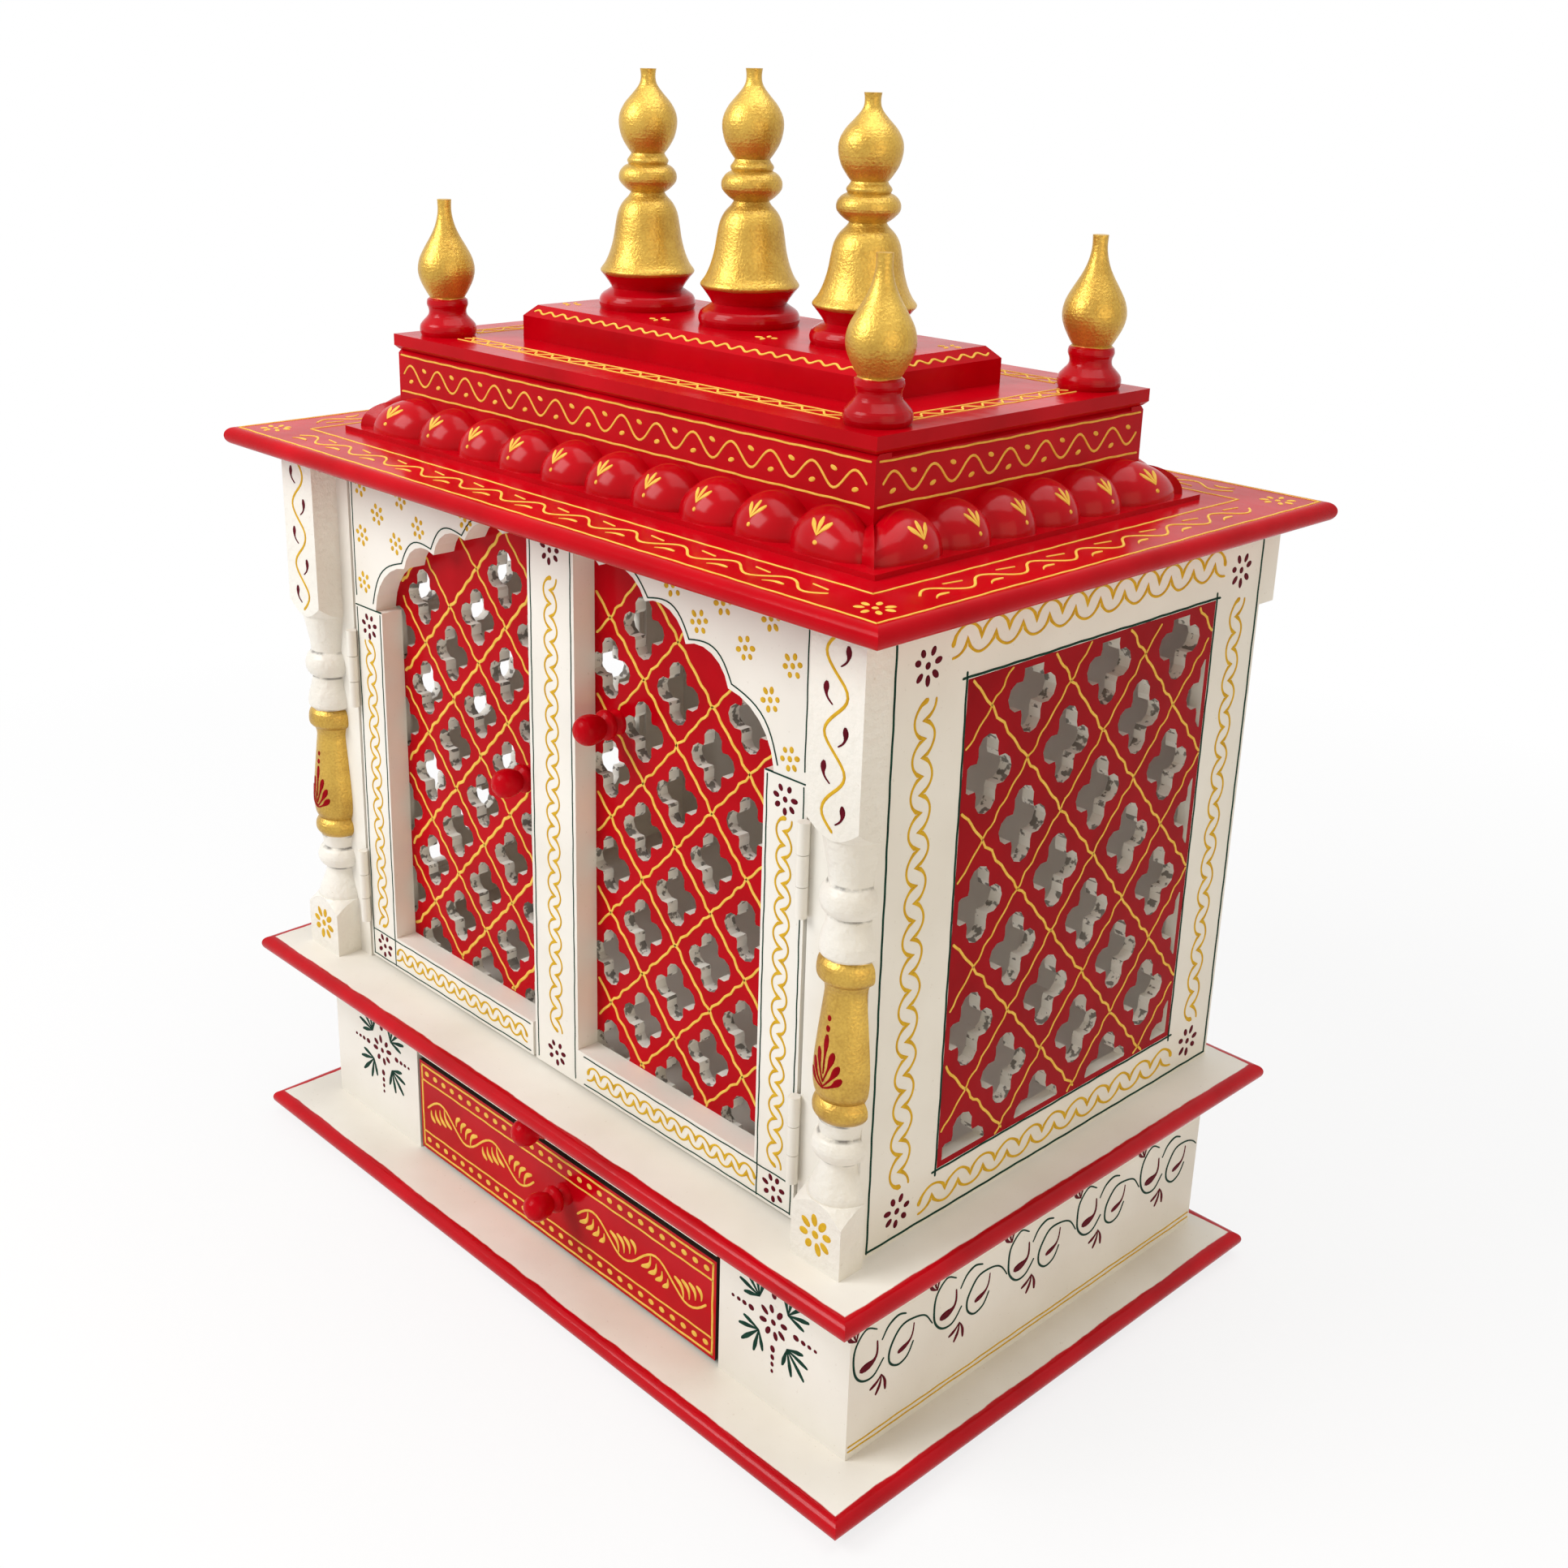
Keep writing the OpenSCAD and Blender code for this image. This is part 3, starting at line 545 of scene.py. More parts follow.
def quarter_spin(quarters):
    """The matrix that turns rows of points round the shrine by quarter turns."""
    cos, sin = round(math.cos(quarters * math.pi / 2)), round(math.sin(quarters * math.pi / 2))
    return np.array([[cos, sin, 0], [-sin, cos, 0], [0, 0, 1]])


def flipped(sheet, hand, shift=0):
    """The same sheet with u counted from a shift, to the right (1) or to the left (-1)."""
    return lambda u, v, h: sheet(hand * (shift + u), v, h)


def turned(sheet, quarters):
    """The same sheet, turned round the shrine by quarter turns."""
    spin = quarter_spin(quarters)
    return lambda u, v, h: sheet(u, v, h) @ spin


def four_sides(corner):
    """The quarter turns, half length and depth of the four sides of a box about the middle."""
    for quarters in range(4):
        half, depth = (corner[1], corner[0]) if quarters % 2 else (corner[0], corner[1])
        yield quarters, half, depth


def is_mirrored(sheet, spot):
    """Whether u, v and up make a left-handed set at a spot."""
    step = 0.1

    def point(u, v, h):
        return sheet(np.array([u]), np.array([v]), h)[0]

    here = point(spot[0], spot[1], 0.0)
    ahead = point(spot[0] + step, spot[1], 0.0) - here
    aside = point(spot[0], spot[1] + step, 0.0) - here
    up = point(spot[0], spot[1], step) - here
    return np.dot(np.cross(ahead, aside), up) < 0


class Brush:
    """All strokes of one paint on one body, gathered into one mesh."""

    def __init__(self, name, body, finish, slot):
        self.name = name
        self.body = body
        self.finish = finish
        self.slot = slot
        self.points = []
        self.faces = []
        self.count = 0

    def add(self, points, faces, mirrored):
        """Takes up points in millimetres and their faces, turned round if they are mirrored."""
        for face in faces:
            loop = [int(corner) + self.count for corner in face]
            self.faces.append(loop[::-1] if mirrored else loop)
        self.points.append(points * MM)
        self.count += len(points)

    def stroke(self, sheet, path, width):
        """Draws a bead of paint along a path, with one width or a width for each point."""
        path = np.asarray(path, float)
        width = np.broadcast_to(np.asarray(width, float), len(path))
        ahead = np.gradient(path, axis=0)
        ahead /= np.linalg.norm(ahead, axis=1)[:, None] + 1e-9
        # Both ends run on a little and grow narrow
        reach, taper = 0.35, 0.45
        first = path[:1] - ahead[:1] * width[0] * reach
        last = path[-1:] + ahead[-1:] * width[-1] * reach
        path = np.concatenate([first, path, last])
        ahead = np.concatenate([ahead[:1], ahead, ahead[-1:]])
        width = np.concatenate([width[:1] * taper, width, width[-1:] * taper])[:, None]
        aside = np.stack([-ahead[:, 1], ahead[:, 0]], axis=1)
        # Across the bead: its feet in the wood and its narrower crown
        crown = 0.28
        section = ((-0.5, -SUNK), (-crown, PROUD), (crown, PROUD), (0.5, -SUNK))
        rails = [sheet(*(path + aside * width * across).T, rise) for across, rise in section]
        points = np.stack(rails, axis=1)
        index = np.arange(len(path) * 4).reshape(-1, 4)
        here, beyond = index[:-1], index[1:]
        quads = np.stack([here, beyond, np.roll(beyond, -1, 1), np.roll(here, -1, 1)], axis=-1)
        quads = quads.reshape(-1, 4)
        caps = [index[0], index[-1][::-1]]
        self.add(points.reshape(-1, 3), [*quads, *caps], is_mirrored(sheet, path[len(path) // 2]))

    def dab(self, sheet, at, length, breadth, lean=0.0):
        """Sets down an oval dab, its length leaning by an angle from u."""
        sides = 12
        crown = 0.62
        angle = np.linspace(0, 2 * math.pi, sides, endpoint=False)
        ovals = []
        for share, rise in ((1.0, -SUNK), (crown, PROUD)):
            u = 0.5 * share * length * np.cos(angle)
            v = 0.5 * share * breadth * np.sin(angle)
            spots = np.stack([at[0] + u * math.cos(lean) - v * math.sin(lean),
                              at[1] + u * math.sin(lean) + v * math.cos(lean)])
            ovals.append(sheet(*spots, rise))
        low = np.arange(sides)
        ring = np.stack([low, np.roll(low, -1), np.roll(low, -1) + sides, low + sides], axis=1)
        self.add(np.concatenate(ovals), [*ring, low + sides, low[::-1]], is_mirrored(sheet, at))

    def drop(self, sheet, tip, tail, breadth, bend=0.0, swell=LEAF):
        """Draws a drop that starts fine at the tip and swells towards its tail, as a leaf or as a comma."""
        tip, tail = np.array(tip, float), np.array(tail, float)
        t = np.linspace(0, 1, 10)[:, None]
        normal = np.array([-(tail - tip)[1], (tail - tip)[0]])
        path = tip + (tail - tip) * t + normal * bend * np.sin(math.pi * t)
        self.stroke(sheet, path, breadth * np.interp(t[:, 0], *swell))

    def flower(self, sheet, at, petals, ring, length, breadth, heart=True):
        """Sets dabs in a ring, each pointing outward, with one in the middle."""
        first = 0.25
        for k in range(petals):
            lean = 2 * math.pi * (k + first) / petals + dice.uniform(-0.1, 0.1)
            spot = (at[0] + ring * math.cos(lean), at[1] + ring * math.sin(lean))
            self.dab(sheet, spot, length * dice.uniform(0.85, 1.15), breadth, lean)
        if heart:
            self.dab(sheet, at, breadth * 1.1, breadth * 1.1)

    def lay(self):
        """Makes the piece of all its strokes."""
        mesh = bpy.data.meshes.new(self.name)
        mesh.from_pydata(np.concatenate(self.points).tolist(), [], self.faces)
        mesh.materials.append(self.finish)
        piece = bpy.data.objects.new(self.name, mesh)
        bpy.context.collection.objects.link(piece)
        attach(piece, self.body)


class Palette:
    """The brushes, one for each paint and body, made when first used."""

    def __init__(self):
        self.paints = {}
        for name, (colour, shade, slot) in LINE_PAINTS.items():
            self.paints[name] = (line_paint(f"{name}_line", colour, shade), slot)
        self.brushes = {}

    def __call__(self, paint, body="root"):
        """The brush of a paint for a body."""
        if (paint, body) not in self.brushes:
            finish, slot = self.paints[paint]
            self.brushes[paint, body] = Brush(f"{paint}_lines_{body}", body, finish, slot)
        return self.brushes[paint, body]

    def lay(self):
        """Makes a piece of each brush's strokes."""
        for brush in self.brushes.values():
            brush.lay()


# Shapes that the painter repeats
def shaken(path, amount=0.35):
    """The path as a hand draws it, a little off the straight."""
    path = np.asarray(path, float)
    run = np.concatenate([[0], np.cumsum(np.linalg.norm(np.diff(path, axis=0), axis=1))])
    spans = (19, 43, 97)
    sway = []
    for _ in range(2):
        sway.append(sum(np.sin(2 * math.pi * (run / span + dice.random())) for span in spans))
    return path + amount * 0.4 * np.stack(sway, axis=1)


def line(start, end):
    """Points on a straight line, about 3 mm apart."""
    start, end = np.array(start, float), np.array(end, float)
    count = max(2, int(np.linalg.norm(end - start) / 3.0) + 1)
    return start + (end - start) * np.linspace(0, 1, count)[:, None]


def strip(start, end, t, off):
    """Points at a share t of the way from start to end, moved sideways by off."""
    start, end = np.array(start, float), np.array(end, float)
    ahead = (end - start) / np.linalg.norm(end - start)
    return start + (end - start) * t[:, None] + np.array([-ahead[1], ahead[0]]) * off[:, None]


def flow(*points):
    """A smooth curve through the points, in six steps from each to the next."""
    points = np.array(points, float)
    padded = np.concatenate([points[:1], points, points[-1:]])
    t = np.linspace(0, 1, 6, endpoint=False)[:, None]
    bends = []
    for a, b, c, d in zip(padded, padded[1:], padded[2:], padded[3:]):
        bends.append(0.5 * (2 * b + (c - a) * t + (2 * a - 5 * b + 4 * c - d) * t ** 2
                            + (3 * b - a - 3 * c + d) * t ** 3))
    return np.concatenate([*bends, points[-1:]])


def rope(brush, sheet, start, end, half, period=21.0, width=1.7):
    """Two rows of scallops that hook into each other between start and end."""
    turns = max(1, round(np.linalg.norm(np.subtract(end, start)) / period))
    per_turn = 14
    t = np.linspace(0, turns, per_turn * turns + 1)
    # A power below 1 makes the scallops round, and the stroke is widest at their cusps
    for hand, shift in ((1, 0.0), (-1, 0.5)):
        bulge = np.abs(np.sin(math.pi * (t + shift)))
        path = strip(start, end, t / turns, hand * half * (0.95 * bulge ** 0.58 - 0.05))
        brush.stroke(sheet, shaken(path), width * (1 + 1.2 * (1 - bulge) ** 3))


def wave(brush, sheet, start, end, height, period, width):
    """A plain wave of whole or half turns, and the places of its crests as (spot, side) pairs."""
    turns = max(2, round(2 * np.linalg.norm(np.subtract(end, start)) / period)) / 2
    per_turn = 16
    t = np.linspace(0, turns, int(per_turn * turns) + 1)
    path = strip(start, end, t / turns, height * np.sin(2 * math.pi * t))
    brush.stroke(sheet, shaken(path, 0.25), width)
    crests = np.arange(0.25, turns, 0.5)
    sides = np.where(np.arange(len(crests)) % 2 == 0, 1, -1)
    return list(zip(crests / turns, sides))


def loop(brush, sheet, low, high, width, past=0.0):
    """Four ruled lines round a box, drawn a little past its corners."""
    (left, foot), (right, head) = low, high
    level = [((left - past, v), (right + past, v)) for v in (foot, head)]
    upright = [((u, foot - past), (u, head + past)) for u in (left, right)]
    for start, end in level + upright:
        brush.stroke(sheet, shaken(line(start, end), 0.25), width)


def lattice(brush, sheet, origin, step, low, high, width):
    """Wavy lines along both diagonals of a lattice, cut off at a box."""
    reach, per_step, shortest = 30, 28, 6
    shake, shakes = 0.022, 3.3
    t = np.linspace(-reach, reach, reach * per_step)
    swell = 0.6 + 0.4 * np.sin(7 * t)
    for slope, thick in ((1, width), (-1, width * 0.75)):
        for k in range(-reach, reach, 2):
            jitter = shake * np.sin(2 * math.pi * (t * shakes + dice.random())) * swell
            u = origin[0] + step[0] * (t + jitter)
            v = origin[1] - step[1] * slope * (t - k - jitter)
            inside = (u > low[0]) & (u < high[0]) & (v > low[1]) & (v < high[1])
            if inside.sum() > shortest:
                brush.stroke(sheet, shaken(np.stack([u, v], axis=1)[inside], 0.3), thick)


# The painted faces
palette = Palette()

# A crossing of each lattice and the steps from it to the next, along u and v
SIDE_LATTICE = (-73, 463.5), (35, 39)
DOOR_LATTICE = (37.1, 408), (30.5, 32.2)

# Petals of a flower, radius of their ring, and length and breadth of a petal
SIDE_FLOWER = 7, 8.2, 7, 4.6
DOOR_FLOWER = 7, 7, 5.8, 4.0
SPANDREL_FLOWER = 6, 5.6, 4.8, 4.0
PLINTH_FLOWER = 8, 9, 7.5, 4.6
PILLAR_FLOWER = 8, 9, 9, 5.6
EAVE_FLOWER = 7, 8, 6.5, 4
RIDGE_FLOWER = 4, 5, 6, 3.2

# The cusps of a door's scalloped arch, and the flowers over it, as (u, v)
ARCH_CUSPS = ((194, 427), (157, 463), (122, 480), (87, 496), (47, 509))
SPANDREL_FLOWERS = {
    "left_door": (
        (207, 443), (207, 476), (207, 510), (187, 494), (166, 478), (159, 510), (139, 494), (86, 510)),
    "right_door": (
        (206, 436), (190, 465), (206, 488), (189, 510), (170, 489), (152, 510), (133, 495), (111, 511)),
}


def paint_side(out):
    """One side of the shrine: roped frame round the pierced panel, lattice lines and vine on the plinth."""
    low, high = mm_box("right_side_jali")
    panel_low, panel_high = mm_box("right_side_stiles")
    sheet = side(panel_high[0], out)
    ochre, maroon, green = palette("ochre"), palette("maroon"), palette("green")
    y = (panel_low[1] + low[1]) / 2, (high[1] + panel_high[1]) / 2
    z = (panel_low[2] + low[2]) / 2, (high[2] + panel_high[2]) / 2
    room = 19
    under_eave = 8
    for end, half in ((y[0], 9), (y[1], 8)):
        rope(ochre, sheet, (end, z[0] + room), (end, z[1] - room - under_eave), half, 21, 2.0)
    for end, half in ((z[0], 8.5), (z[1], 9.5)):
        rope(ochre, sheet, (y[0] + room, end), (y[1] - room, end), half, 23, 2.0)
    for end in y:
        maroon.flower(sheet, (end, z[0] + 3), *SIDE_FLOWER)
        maroon.flower(sheet, (end, z[1] - under_eave), *SIDE_FLOWER)
    loop(green, sheet, low[1:] - 1, high[1:] + 1, 1.9, past=3)
    behind_pillar = 8.5
    loop(green, sheet, panel_low[1:] + (behind_pillar, 3), panel_high[1:] - 3, 1.9)
    lattice(palette("straw"), sheet, *SIDE_LATTICE, low[1:] + 1, high[1:] - 1, 2.1)
    paint_plinth_side(out)


def paint_plinth_side(out):
    """A vine of open curls with maroon drops, over a double gold line."""
    low, high = mm_box("plinth_sides")
    sheet = side(high[0], out)
    ochre, maroon, green = palette("ochre"), palette("maroon"), palette("green")
    for z in (low[2] + 5, low[2] + 8.5):
        ochre.stroke(sheet, shaken(line((low[1] + 2, z), (high[1] - 2, z)), 0.3), 1.3)
    repeats = 5
    pitch = (high[1] - low[1]) / repeats
    middle = low[2] + 0.52 * (high[2] - low[2])
    drawn_pitch = 70
    hook = ((20, 18), (11, 22), (2, 13), (2, -3), (9, -13), (19, -14), (27, -6))
    stem = ((70, -4), (63, 5), (52, 9), (41, 8), (33, -2), (33, -12), (40, -18), (48, -16), (53, -8))
    tendril = ((25, 8), (30, 15), (38, 18), (45, 16))
    upper_tuft = (3, 18), ((-4, 24), (1, 29), (8, 29))
    lower_tuft = (26, -17), ((17, -23), (22, -29), (30, -29))
    for k in range(repeats):
        at = np.array([low[1] + 2 + k * pitch, middle])
        for curve in (hook, stem, tendril):
            run = flow(*curve) * (pitch / drawn_pitch, 1)
            run = run[run[:, 0] + at[0] < high[1] - 2]
            width = np.interp(np.linspace(0, 1, len(run)), (0, 0.5, 1), (1.2, 2.2, 1.4))
            green.stroke(sheet, shaken(at + run, 0.25), width)
        maroon.drop(sheet, at + (21, 9), at + (9, -5), 8, 0.35, COMMA)
        maroon.drop(sheet, at + (53, 5), at + (41, -9), 5.4, 0.25, COMMA)
        for base, tips in (upper_tuft, lower_tuft):
            for tip in tips:
                maroon.drop(sheet, at + base, at + tip, 3.4, 0.1)


def paint_plinth_front():
    """Dotted flowers with leaf fans on both sides of the drawer."""
    low, high = mm_box("plinth_front")
    drawer_edge = mm_box("drawer_front")[1][0]
    sheet = front(low[1])
    fan_root = 17
    for hand in (-1, 1):
        at = (hand * (drawer_edge + high[0]) / 2, (low[2] + high[2]) / 2)
        palette("maroon").flower(sheet, at, *PLINTH_FLOWER)
        for k in range(4):
            axis = math.pi / 2 * k
            for reach, size in ((19, 5), (25, 4), (30, 3.4), (35, 2.8)):
                spot = (at[0] + reach * math.cos(axis), at[1] + reach * math.sin(axis))
                palette("maroon").dab(sheet, spot, size * 1.2, size, axis)
            diagonal = axis + math.pi / 4
            root = (at[0] + fan_root * math.cos(diagonal), at[1] + fan_root * math.sin(diagonal))
            for turn, length in ((-1.05, 13), (-0.55, 17), (0, 20), (0.55, 17), (1.05, 13)):
                lean = diagonal + turn
                tail = (root[0] + length * math.cos(lean), root[1] + length * math.sin(lean))
                palette("green").drop(sheet, root, tail, 4.2)


def paint_drawer():
    """Gold dots in two bands, and a leafy wave between them."""
    low, high = mm_box("drawer_front")
    sheet = front(low[1])
    straw = palette("straw", "drawer")
    rim, dotted, band, dots = 3, 9, 15, 30
    loop(straw, sheet, (low[0] + rim, low[2] + rim), (high[0] - rim, high[2] - rim), 2.0)
    for z, row in ((low[2] + band, low[2] + dotted), (high[2] - band, high[2] - dotted)):
        straw.stroke(sheet, shaken(line((low[0] + rim, z), (high[0] - rim, z)), 0.3), 1.6)
        for u in np.linspace(low[0] + dotted, high[0] - dotted, dots):
            straw.dab(sheet, (u, row), 6.2, 4.8)
    middle = (low[2] + high[2]) / 2
    knob = 24
    for hand in (-1, 1):
        start = (hand * knob, middle)
        end = (hand * (high[0] - dotted), middle)
        for t, crest in wave(straw, sheet, start, end, 9.5, 64, 2.0):
            u = start[0] + t * (end[0] - start[0])
            for k in range(4):
                tip = (u + hand * (5.6 * k - 5), middle + hand * crest * (7 - 2.6 * k))
                tail = (tip[0] - hand * (8 - 1.3 * k), tip[1] - hand * crest * (11.5 - 1.2 * k))
                straw.drop(sheet, tip, tail, 4.4, 0.2 * crest)


def paint_door(hand, body):
    """One door: roped stiles and foot rail, a dotted spandrel and the lattice of its pierced panel."""
    stile_low, stile_high = mm_box("right_door_stile")
    rail_low, rail_high = mm_box("right_door_rail")
    arch_high = mm_box("right_door_arch")[1]
    jali_low, jali_high = mm_box(f"{body}_jali")
    free_edge = min(abs(jali_low[0]), abs(jali_high[0]))
    middle = mm_box("middle_stile")[1][0]
    sheet = flipped(front(stile_low[1]), hand)
    ochre, maroon, green = palette("ochre", body), palette("maroon", body), palette("green", body)
    x = (stile_low[0] + stile_high[0]) / 2
    z = (rail_low[2] + rail_high[2]) / 2
    room, below_top, inset = 16, 13, 2.5
    rope(ochre, sheet, (x, z + room), (x, stile_high[2] - 24), 6.5, 15.5)
    rope(ochre, sheet, (middle + 10, z), (x - room, z), 6, 13)
    for spot in ((x, z), (x, stile_high[2] - below_top)):
        maroon.flower(sheet, spot, *DOOR_FLOWER)
    for u in (stile_low[0] + inset, stile_high[0] - inset):
        green.stroke(sheet, shaken(line((u, rail_low[2] + 2), (u, stile_high[2] - 2)), 0.25), 1.0)
    for v in (rail_low[2] + inset, rail_high[2] - inset):
        green.stroke(sheet, shaken(line((middle + 6, v), (stile_high[0] - 3, v)), 0.25), 1.0)
    green.stroke(sheet, line((stile_low[0] + 1, stile_high[2]), (stile_high[0] - 1, stile_high[2])), 1.2)
    paint_spandrel(sheet, ochre, green, arch_high, SPANDREL_FLOWERS[body])
    panel = flipped(front(jali_low[1]), hand)
    low_end = (max(middle, free_edge) + 2, rail_high[2] + 1)
    high_end = (stile_low[0] - 1, arch_high[2] - 14)
    lattice(palette("straw", body), panel, *DOOR_LATTICE, low_end, high_end, 2.7)


def paint_spandrel(sheet, ochre, green, corner, flowers):
    """Dotted flowers scattered over the spandrel, with a dark line round its scallops."""
    clear, bulge, inset, outer_foot = 3, 9, 2.5, 432
    for start, end in zip(ARCH_CUSPS, ARCH_CUSPS[1:]):
        start, end = np.array(start, float) + clear, np.array(end, float) + clear
        t = np.linspace(0, 1, 12)
        green.stroke(sheet, strip(start, end, t, -bulge * np.sin(math.pi * t)), 1.1)
    outer = line((corner[0] - inset, outer_foot), (corner[0] - inset, corner[2] - clear))
    green.stroke(sheet, shaken(outer, 0.2), 1.0)
    for spot in flowers:
        ochre.flower(sheet, spot, *SPANDREL_FLOWER)


def paint_middle_stile():
    """The stile between the doors: a rope between two flowers, lined on both sides."""
    low, high = mm_box("middle_stile")
    sheet = front(low[1])
    ochre, maroon, green = (palette(paint, "right_door") for paint in ("ochre", "maroon", "green"))
    foot, head, room, inset = low[2] + 13, high[2] - 17, 17, 3
    rope(ochre, sheet, (0, foot + room), (0, head - room), 7, 16)
    maroon.flower(sheet, (0, foot), *DOOR_FLOWER)
    maroon.flower(sheet, (0, head), *DOOR_FLOWER)
    for u in (low[0] + inset, high[0] - inset):
        green.stroke(sheet, shaken(line((u, low[2] + inset), (u, high[2] - inset)), 0.25), 1.0)


def paint_pillar(hand):
    """A wave with drops on the head block, a red fan on the gold vase and a flower on the foot."""
    low, high = mm_box("right_pillar")
    mesh = frame["nodes"]["right_pillar"].data
    spots = np.array([vertex.co for vertex in mesh.vertices]) / MM
    axis = np.array([(low[0] + high[0]) / 2, high[1]])
    level = np.round(spots[:, 2], 1)
    heights = np.unique(level)
    reach = [np.linalg.norm(spots[level == z][:, :2] - axis, axis=1).max() for z in heights]
    sheet = flipped(front(low[1]), hand, axis[0])

    def turning(u, v, h):
        """The sheet of the turned part: u round it, v up."""
        vase_radius = 19
        grown = np.interp(v, heights, reach) + h
        angle = u / vase_radius
        x = hand * (axis[0] + grown * np.sin(angle))
        y = axis[1] - grown * np.cos(angle)
        return np.stack([x, y, v], axis=-1)

    ochre, maroon, crimson = palette("ochre"), palette("maroon"), palette("crimson")
    head, foot = high[2] - 6, high[2] - 112
    for t, crest in wave(ochre, sheet, (0, foot), (0, head), 7.5, 41, 2.4):
        v = foot + t * (head - foot)
        maroon.drop(sheet, (crest * 2.6, v - 6), (crest * 7.0, v + 4), 5.4, -0.2 * crest, COMMA)
    vase = low[2] + 114
    for lean, root, length in ((-1.0, 0, 13), (-0.62, 1, 16), (-0.32, 4, 18), (0, 9, 21),
                               (0.32, 4, 18), (0.62, 1, 16), (1.0, 0, 13)):
        tail = (length * math.sin(lean), vase + root + length * math.cos(lean))
        crimson.drop(turning, (0, vase + root), tail, 5.6, -0.08 * lean, COMMA)
    for rise, size in ((35, 4.6), (41, 4.2)):
        crimson.dab(turning, (0, vase + rise), size, size)
    ochre.flower(sheet, (0, low[2] + 21), *PILLAR_FLOWER)


def paint_roof_side(quarters, half, depth):
    """One side of the roof: the lined box with its wave of dabs, and the vine on the eave."""
    straw = palette("straw")
    box_high = mm_box("roof_box_long")[1]
    eave_high = mm_box("eave_board")[1]
    face = turned(front(-depth), quarters)
    moulding_top = mm_box("petal_moulding_long")[1][2]
    foot, head = moulding_top + 2, box_high[2] - 4
    for z in (foot, head):
        straw.stroke(face, shaken(line((3 - half, z), (half - 3, z)), 0.3), 1.5)
    start, end = (6 - half, (foot + head) / 2), (half - 6, (foot + head) / 2)
    for t, crest in wave(straw, face, start, end, 6.0, 31, 1.8):
        spot = strip(start, end, np.array([t]), np.array([-4.5 * crest]))[0]
        straw.dab(face, spot, 6, 3.2, 0.3 * crest)
    eave = turned(top(eave_high[2]), quarters)
    reach, edge = (eave_high[1], -eave_high[0]) if quarters % 2 else (eave_high[0], -eave_high[1])
    for inset in (8, 43):
        ruled = line((inset - reach, edge + inset), (reach - inset, edge + inset))
        straw.stroke(eave, shaken(ruled, 0.35), 1.6)
    between, corner = 26, 58
    row = edge + between
    for t, crest in wave(straw, eave, (corner - reach, row), (reach - corner, row), 6.0, 42, 1.9):
        u = (corner - reach) + t * 2 * (reach - corner)
        if crest > 0:
            straw.drop(eave, (u - 7, row - 8), (u + 5, row - 5), 3.0, 0.15)
        else:
            tick = strip((u - 6, row + 7), (u + 6, row + 5), np.linspace(0, 1, 6), np.zeros(6))
            straw.stroke(eave, tick, 1.4)
    straw.flower(eave, (reach - between, edge + between), *EAVE_FLOWER)


# The petal moulding in millimetres: how far it stands out, its height over the ledge, the ledge's
# height and how far it stands out past the petals, and the pitch and girth of a petal.
# PETAL_DIP is how deep the valleys between petals are.
PETAL_OUT = 26.0
PETAL_RISE = 23.0
PETAL_LEDGE = 3.0
PETAL_LEDGE_OUT = 1.5
PETAL_PITCH = 48.0
PETAL_GIRTH = 38.5
PETAL_DIP = 0.66


def mitre_fan(share):
    """How far a strip follows its mitre, from its middle (0) to its ends (-1 and 1)."""
    return np.sign(share) * np.abs(share) ** 9


def petal_sheet(half, depth, foot):
    """The rounded petals of a strip: u along its outer edge, v up the swell from its ledge."""

    def sheet(u, v, h):
        p = u / PETAL_PITCH - 0.5
        off = 2 * (p - np.round(p))
        swell = np.sqrt(1 - PETAL_DIP * off * off)
        s = u / (half + PETAL_OUT)
        angle = np.pi / 2 * (1 - v / PETAL_GIRTH)
        away = PETAL_OUT * swell * np.sin(angle) + h * np.sin(angle)
        z = foot + PETAL_LEDGE + PETAL_RISE * swell * np.cos(angle) + h * np.cos(angle)
        return np.stack([s * half + mitre_fan(s) * away, -depth - away, z], axis=-1)

    return sheet


def paint_petals(quarters, half, depth):
    """A three-leaved sprig on each petal of a strip."""
    foot = mm_box("petal_moulding_long")[0][2]
    sheet = turned(petal_sheet(half, depth, foot), quarters)
    count = int(2 * half / PETAL_PITCH) + 1
    for k in range(-count // 2 - 1, count // 2 + 2):
        u = (k + 0.5) * PETAL_PITCH
        if abs(u) < half + 4:
            for lean in (-0.7, 0, 0.7):
                tail = (u + 9 * math.sin(lean), 14 + 9 * math.cos(lean))
                palette("straw").drop(sheet, (u, 12), tail, 3.6)
            palette("straw").dab(sheet, (u, 8), 3.2, 3.2)


def paint_roof_top():
    """Lined rope round the lid, wavy lines on the ridge block and sprigs by the kalashes."""
    straw = palette("straw")
    lid_high = mm_box("roof_lid")[1]
    ridge_high = mm_box("ridge_block")[1]
    lid = top(lid_high[2])
    inset, corner, rope_half = 26, 46, 6
    ridge_bevel = 7
    for quarters, half, depth in four_sides(lid_high):
        sheet = turned(lid, quarters)
        reach = half - corner
        for v in (inset - rope_half - depth, inset + rope_half - depth):
            straw.stroke(sheet, shaken(line((-reach, v), (reach, v)), 0.3), 1.3)
        wave(straw, sheet, (-reach, inset - depth), (reach, inset - depth), 3.2, 17, 1.6)
    for quarters, half, depth in four_sides(ridge_high):
        face = turned(bevel(-depth, ridge_high[2] - ridge_bevel), quarters)
        wave(straw, face, (9 - half, 4.5), (half - 9, 4.5), 1.3, 13, 1.7)
    crown = top(ridge_high[2])
    beside_kalashes, off_middle = (-138, -49, 49, 138), 32
    for u in beside_kalashes:
        for v in (-off_middle, off_middle):
            straw.flower(crown, (u, v), *RIDGE_FLOWER, heart=False)


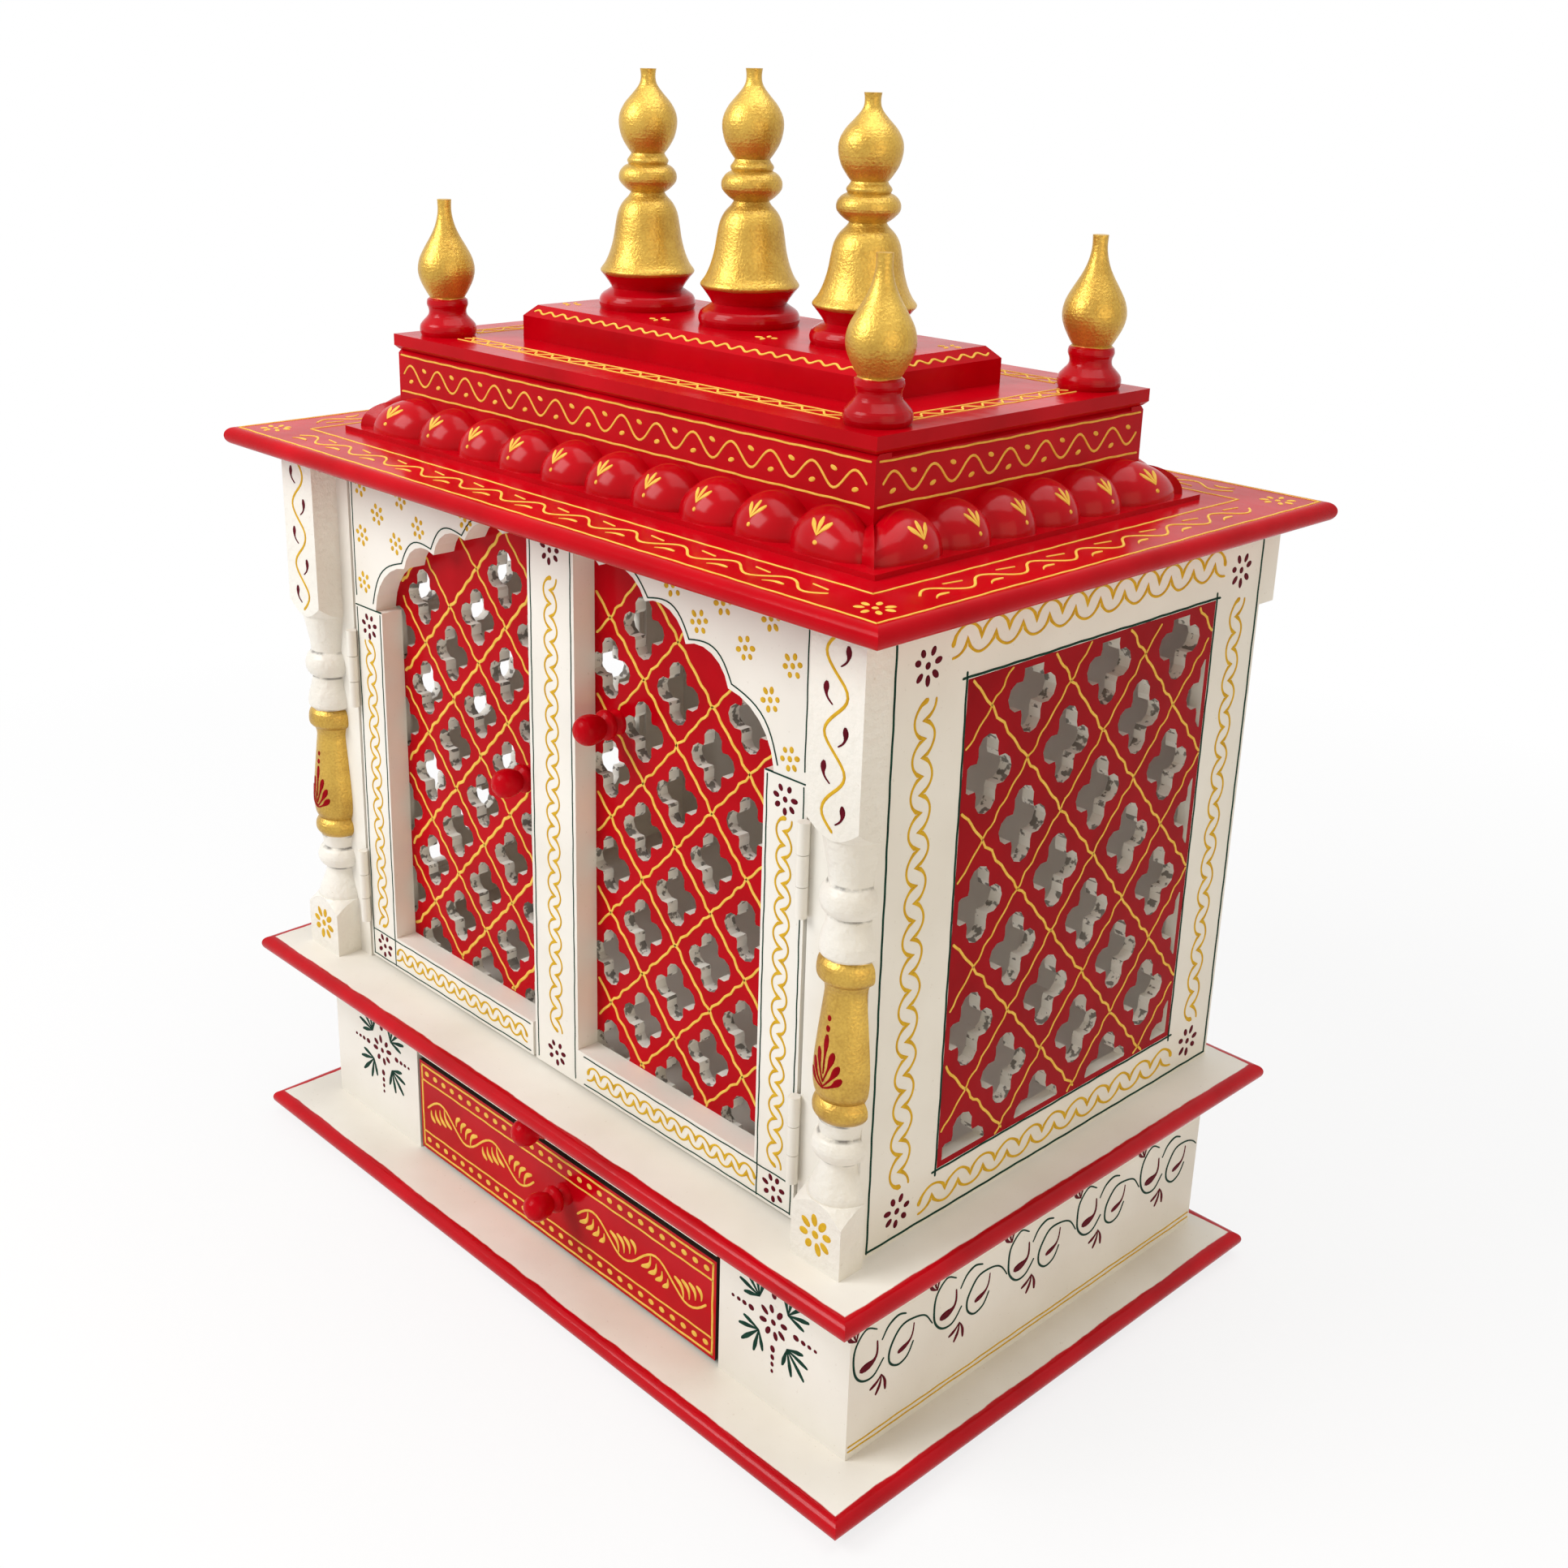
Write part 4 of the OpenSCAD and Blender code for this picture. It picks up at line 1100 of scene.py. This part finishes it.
for out in (-1, 1):
    paint_side(out)
    paint_pillar(out)
paint_plinth_front()
paint_drawer()
paint_door(-1, "left_door")
paint_door(1, "right_door")
paint_middle_stile()
roof_box = mm_box("roof_box_long")[1][:2]
for quarters, half, depth in four_sides(roof_box):
    paint_roof_side(quarters, half, depth)
    paint_petals(quarters, half, depth)
paint_roof_top()
palette.lay()


# Smooth petals in place of the faceted ones
def carve_petals(name, node, turns, half, depth):
    """Two strips of rounded petals on a ledge, mitred at the corners."""
    foot = mm_box(node)[0][2]
    across, per_petal = 18, 28
    along = np.linspace(-1, 1, 2 * int(per_petal / 2 * half / PETAL_PITCH) * 2 + 1)
    skin = petal_sheet(half, depth, foot)
    fan = mitre_fan(along)
    brim = PETAL_OUT + PETAL_LEDGE_OUT
    rails = []
    for away, z in ((0.0, foot), (brim, foot), (brim, foot + PETAL_LEDGE)):
        x = along * half + fan * away
        rails.append(np.stack([x, 0 * along - depth - away, 0 * along + z], axis=-1))
    for k in range(across + 1):
        rails.append(skin(along * (half + PETAL_OUT), 0 * along + PETAL_GIRTH * k / across, 0.0))
    ring = len(rails)
    strip_points = np.stack(rails, axis=1).reshape(-1, 3)
    index = np.arange(len(along) * ring).reshape(-1, ring)
    here, beyond = index[:-1], index[1:]
    quads = np.stack([here, np.roll(here, -1, 1), np.roll(beyond, -1, 1), beyond], axis=-1)
    quads = quads.reshape(-1, 4)
    shape = Brush(name, "root", frame["nodes"][node].data.materials[0], "red_paint")
    for quarters in turns:
        shape.add(strip_points @ quarter_spin(quarters), [*quads, index[0][::-1], index[-1]], True)
    shape.lay()
    smooth_below = math.radians(40)
    piece = bpy.data.objects[name]
    bpy.ops.object.select_all(action="DESELECT")
    piece.select_set(True)
    bpy.context.view_layer.objects.active = piece
    bpy.ops.object.shade_smooth_by_angle(angle=smooth_below)
    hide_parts(node)


carve_petals("petals_long", "petal_moulding_long", (0, 2), *roof_box)
carve_petals("petals_ends", "petal_moulding_ends", (1, 3), *roof_box[::-1])


# Floor: it takes the shadow close to the shrine and runs out to plain white.
# CLEAR is how white it looks up to NEAR, and at FAR it is all white.
NEAR = 0.3
FAR = 1.4
CLEAR = 0.80
FLOOR_SIZE = 40
FLOOR_GREY = (0.82, 0.82, 0.82)


def lay_floor():
    """A wide floor, seen almost white."""
    bpy.ops.object.select_all(action="DESELECT")
    bpy.ops.mesh.primitive_plane_add(size=FLOOR_SIZE, location=(0, 0, 0))
    floor = bpy.context.object
    floor.name = "floor"
    finish = Finish("floor_white")
    finish.plug(finish.shader.inputs["Base Color"], FLOOR_GREY)
    finish.plug(finish.shader.inputs["Roughness"], 0.9)
    white = finish.node("ShaderNodeEmission", None, Color=WHITE, Strength=1.0)
    x, y, _ = finish.axes()
    away = (x * x + y * y).ramp(NEAR ** 2, FAR ** 2)
    finish.show(finish.seen() * (away * (1 - CLEAR) + CLEAR), finish.shader, white, "Material Output")
    floor.data.materials.append(finish.material)


lay_floor()
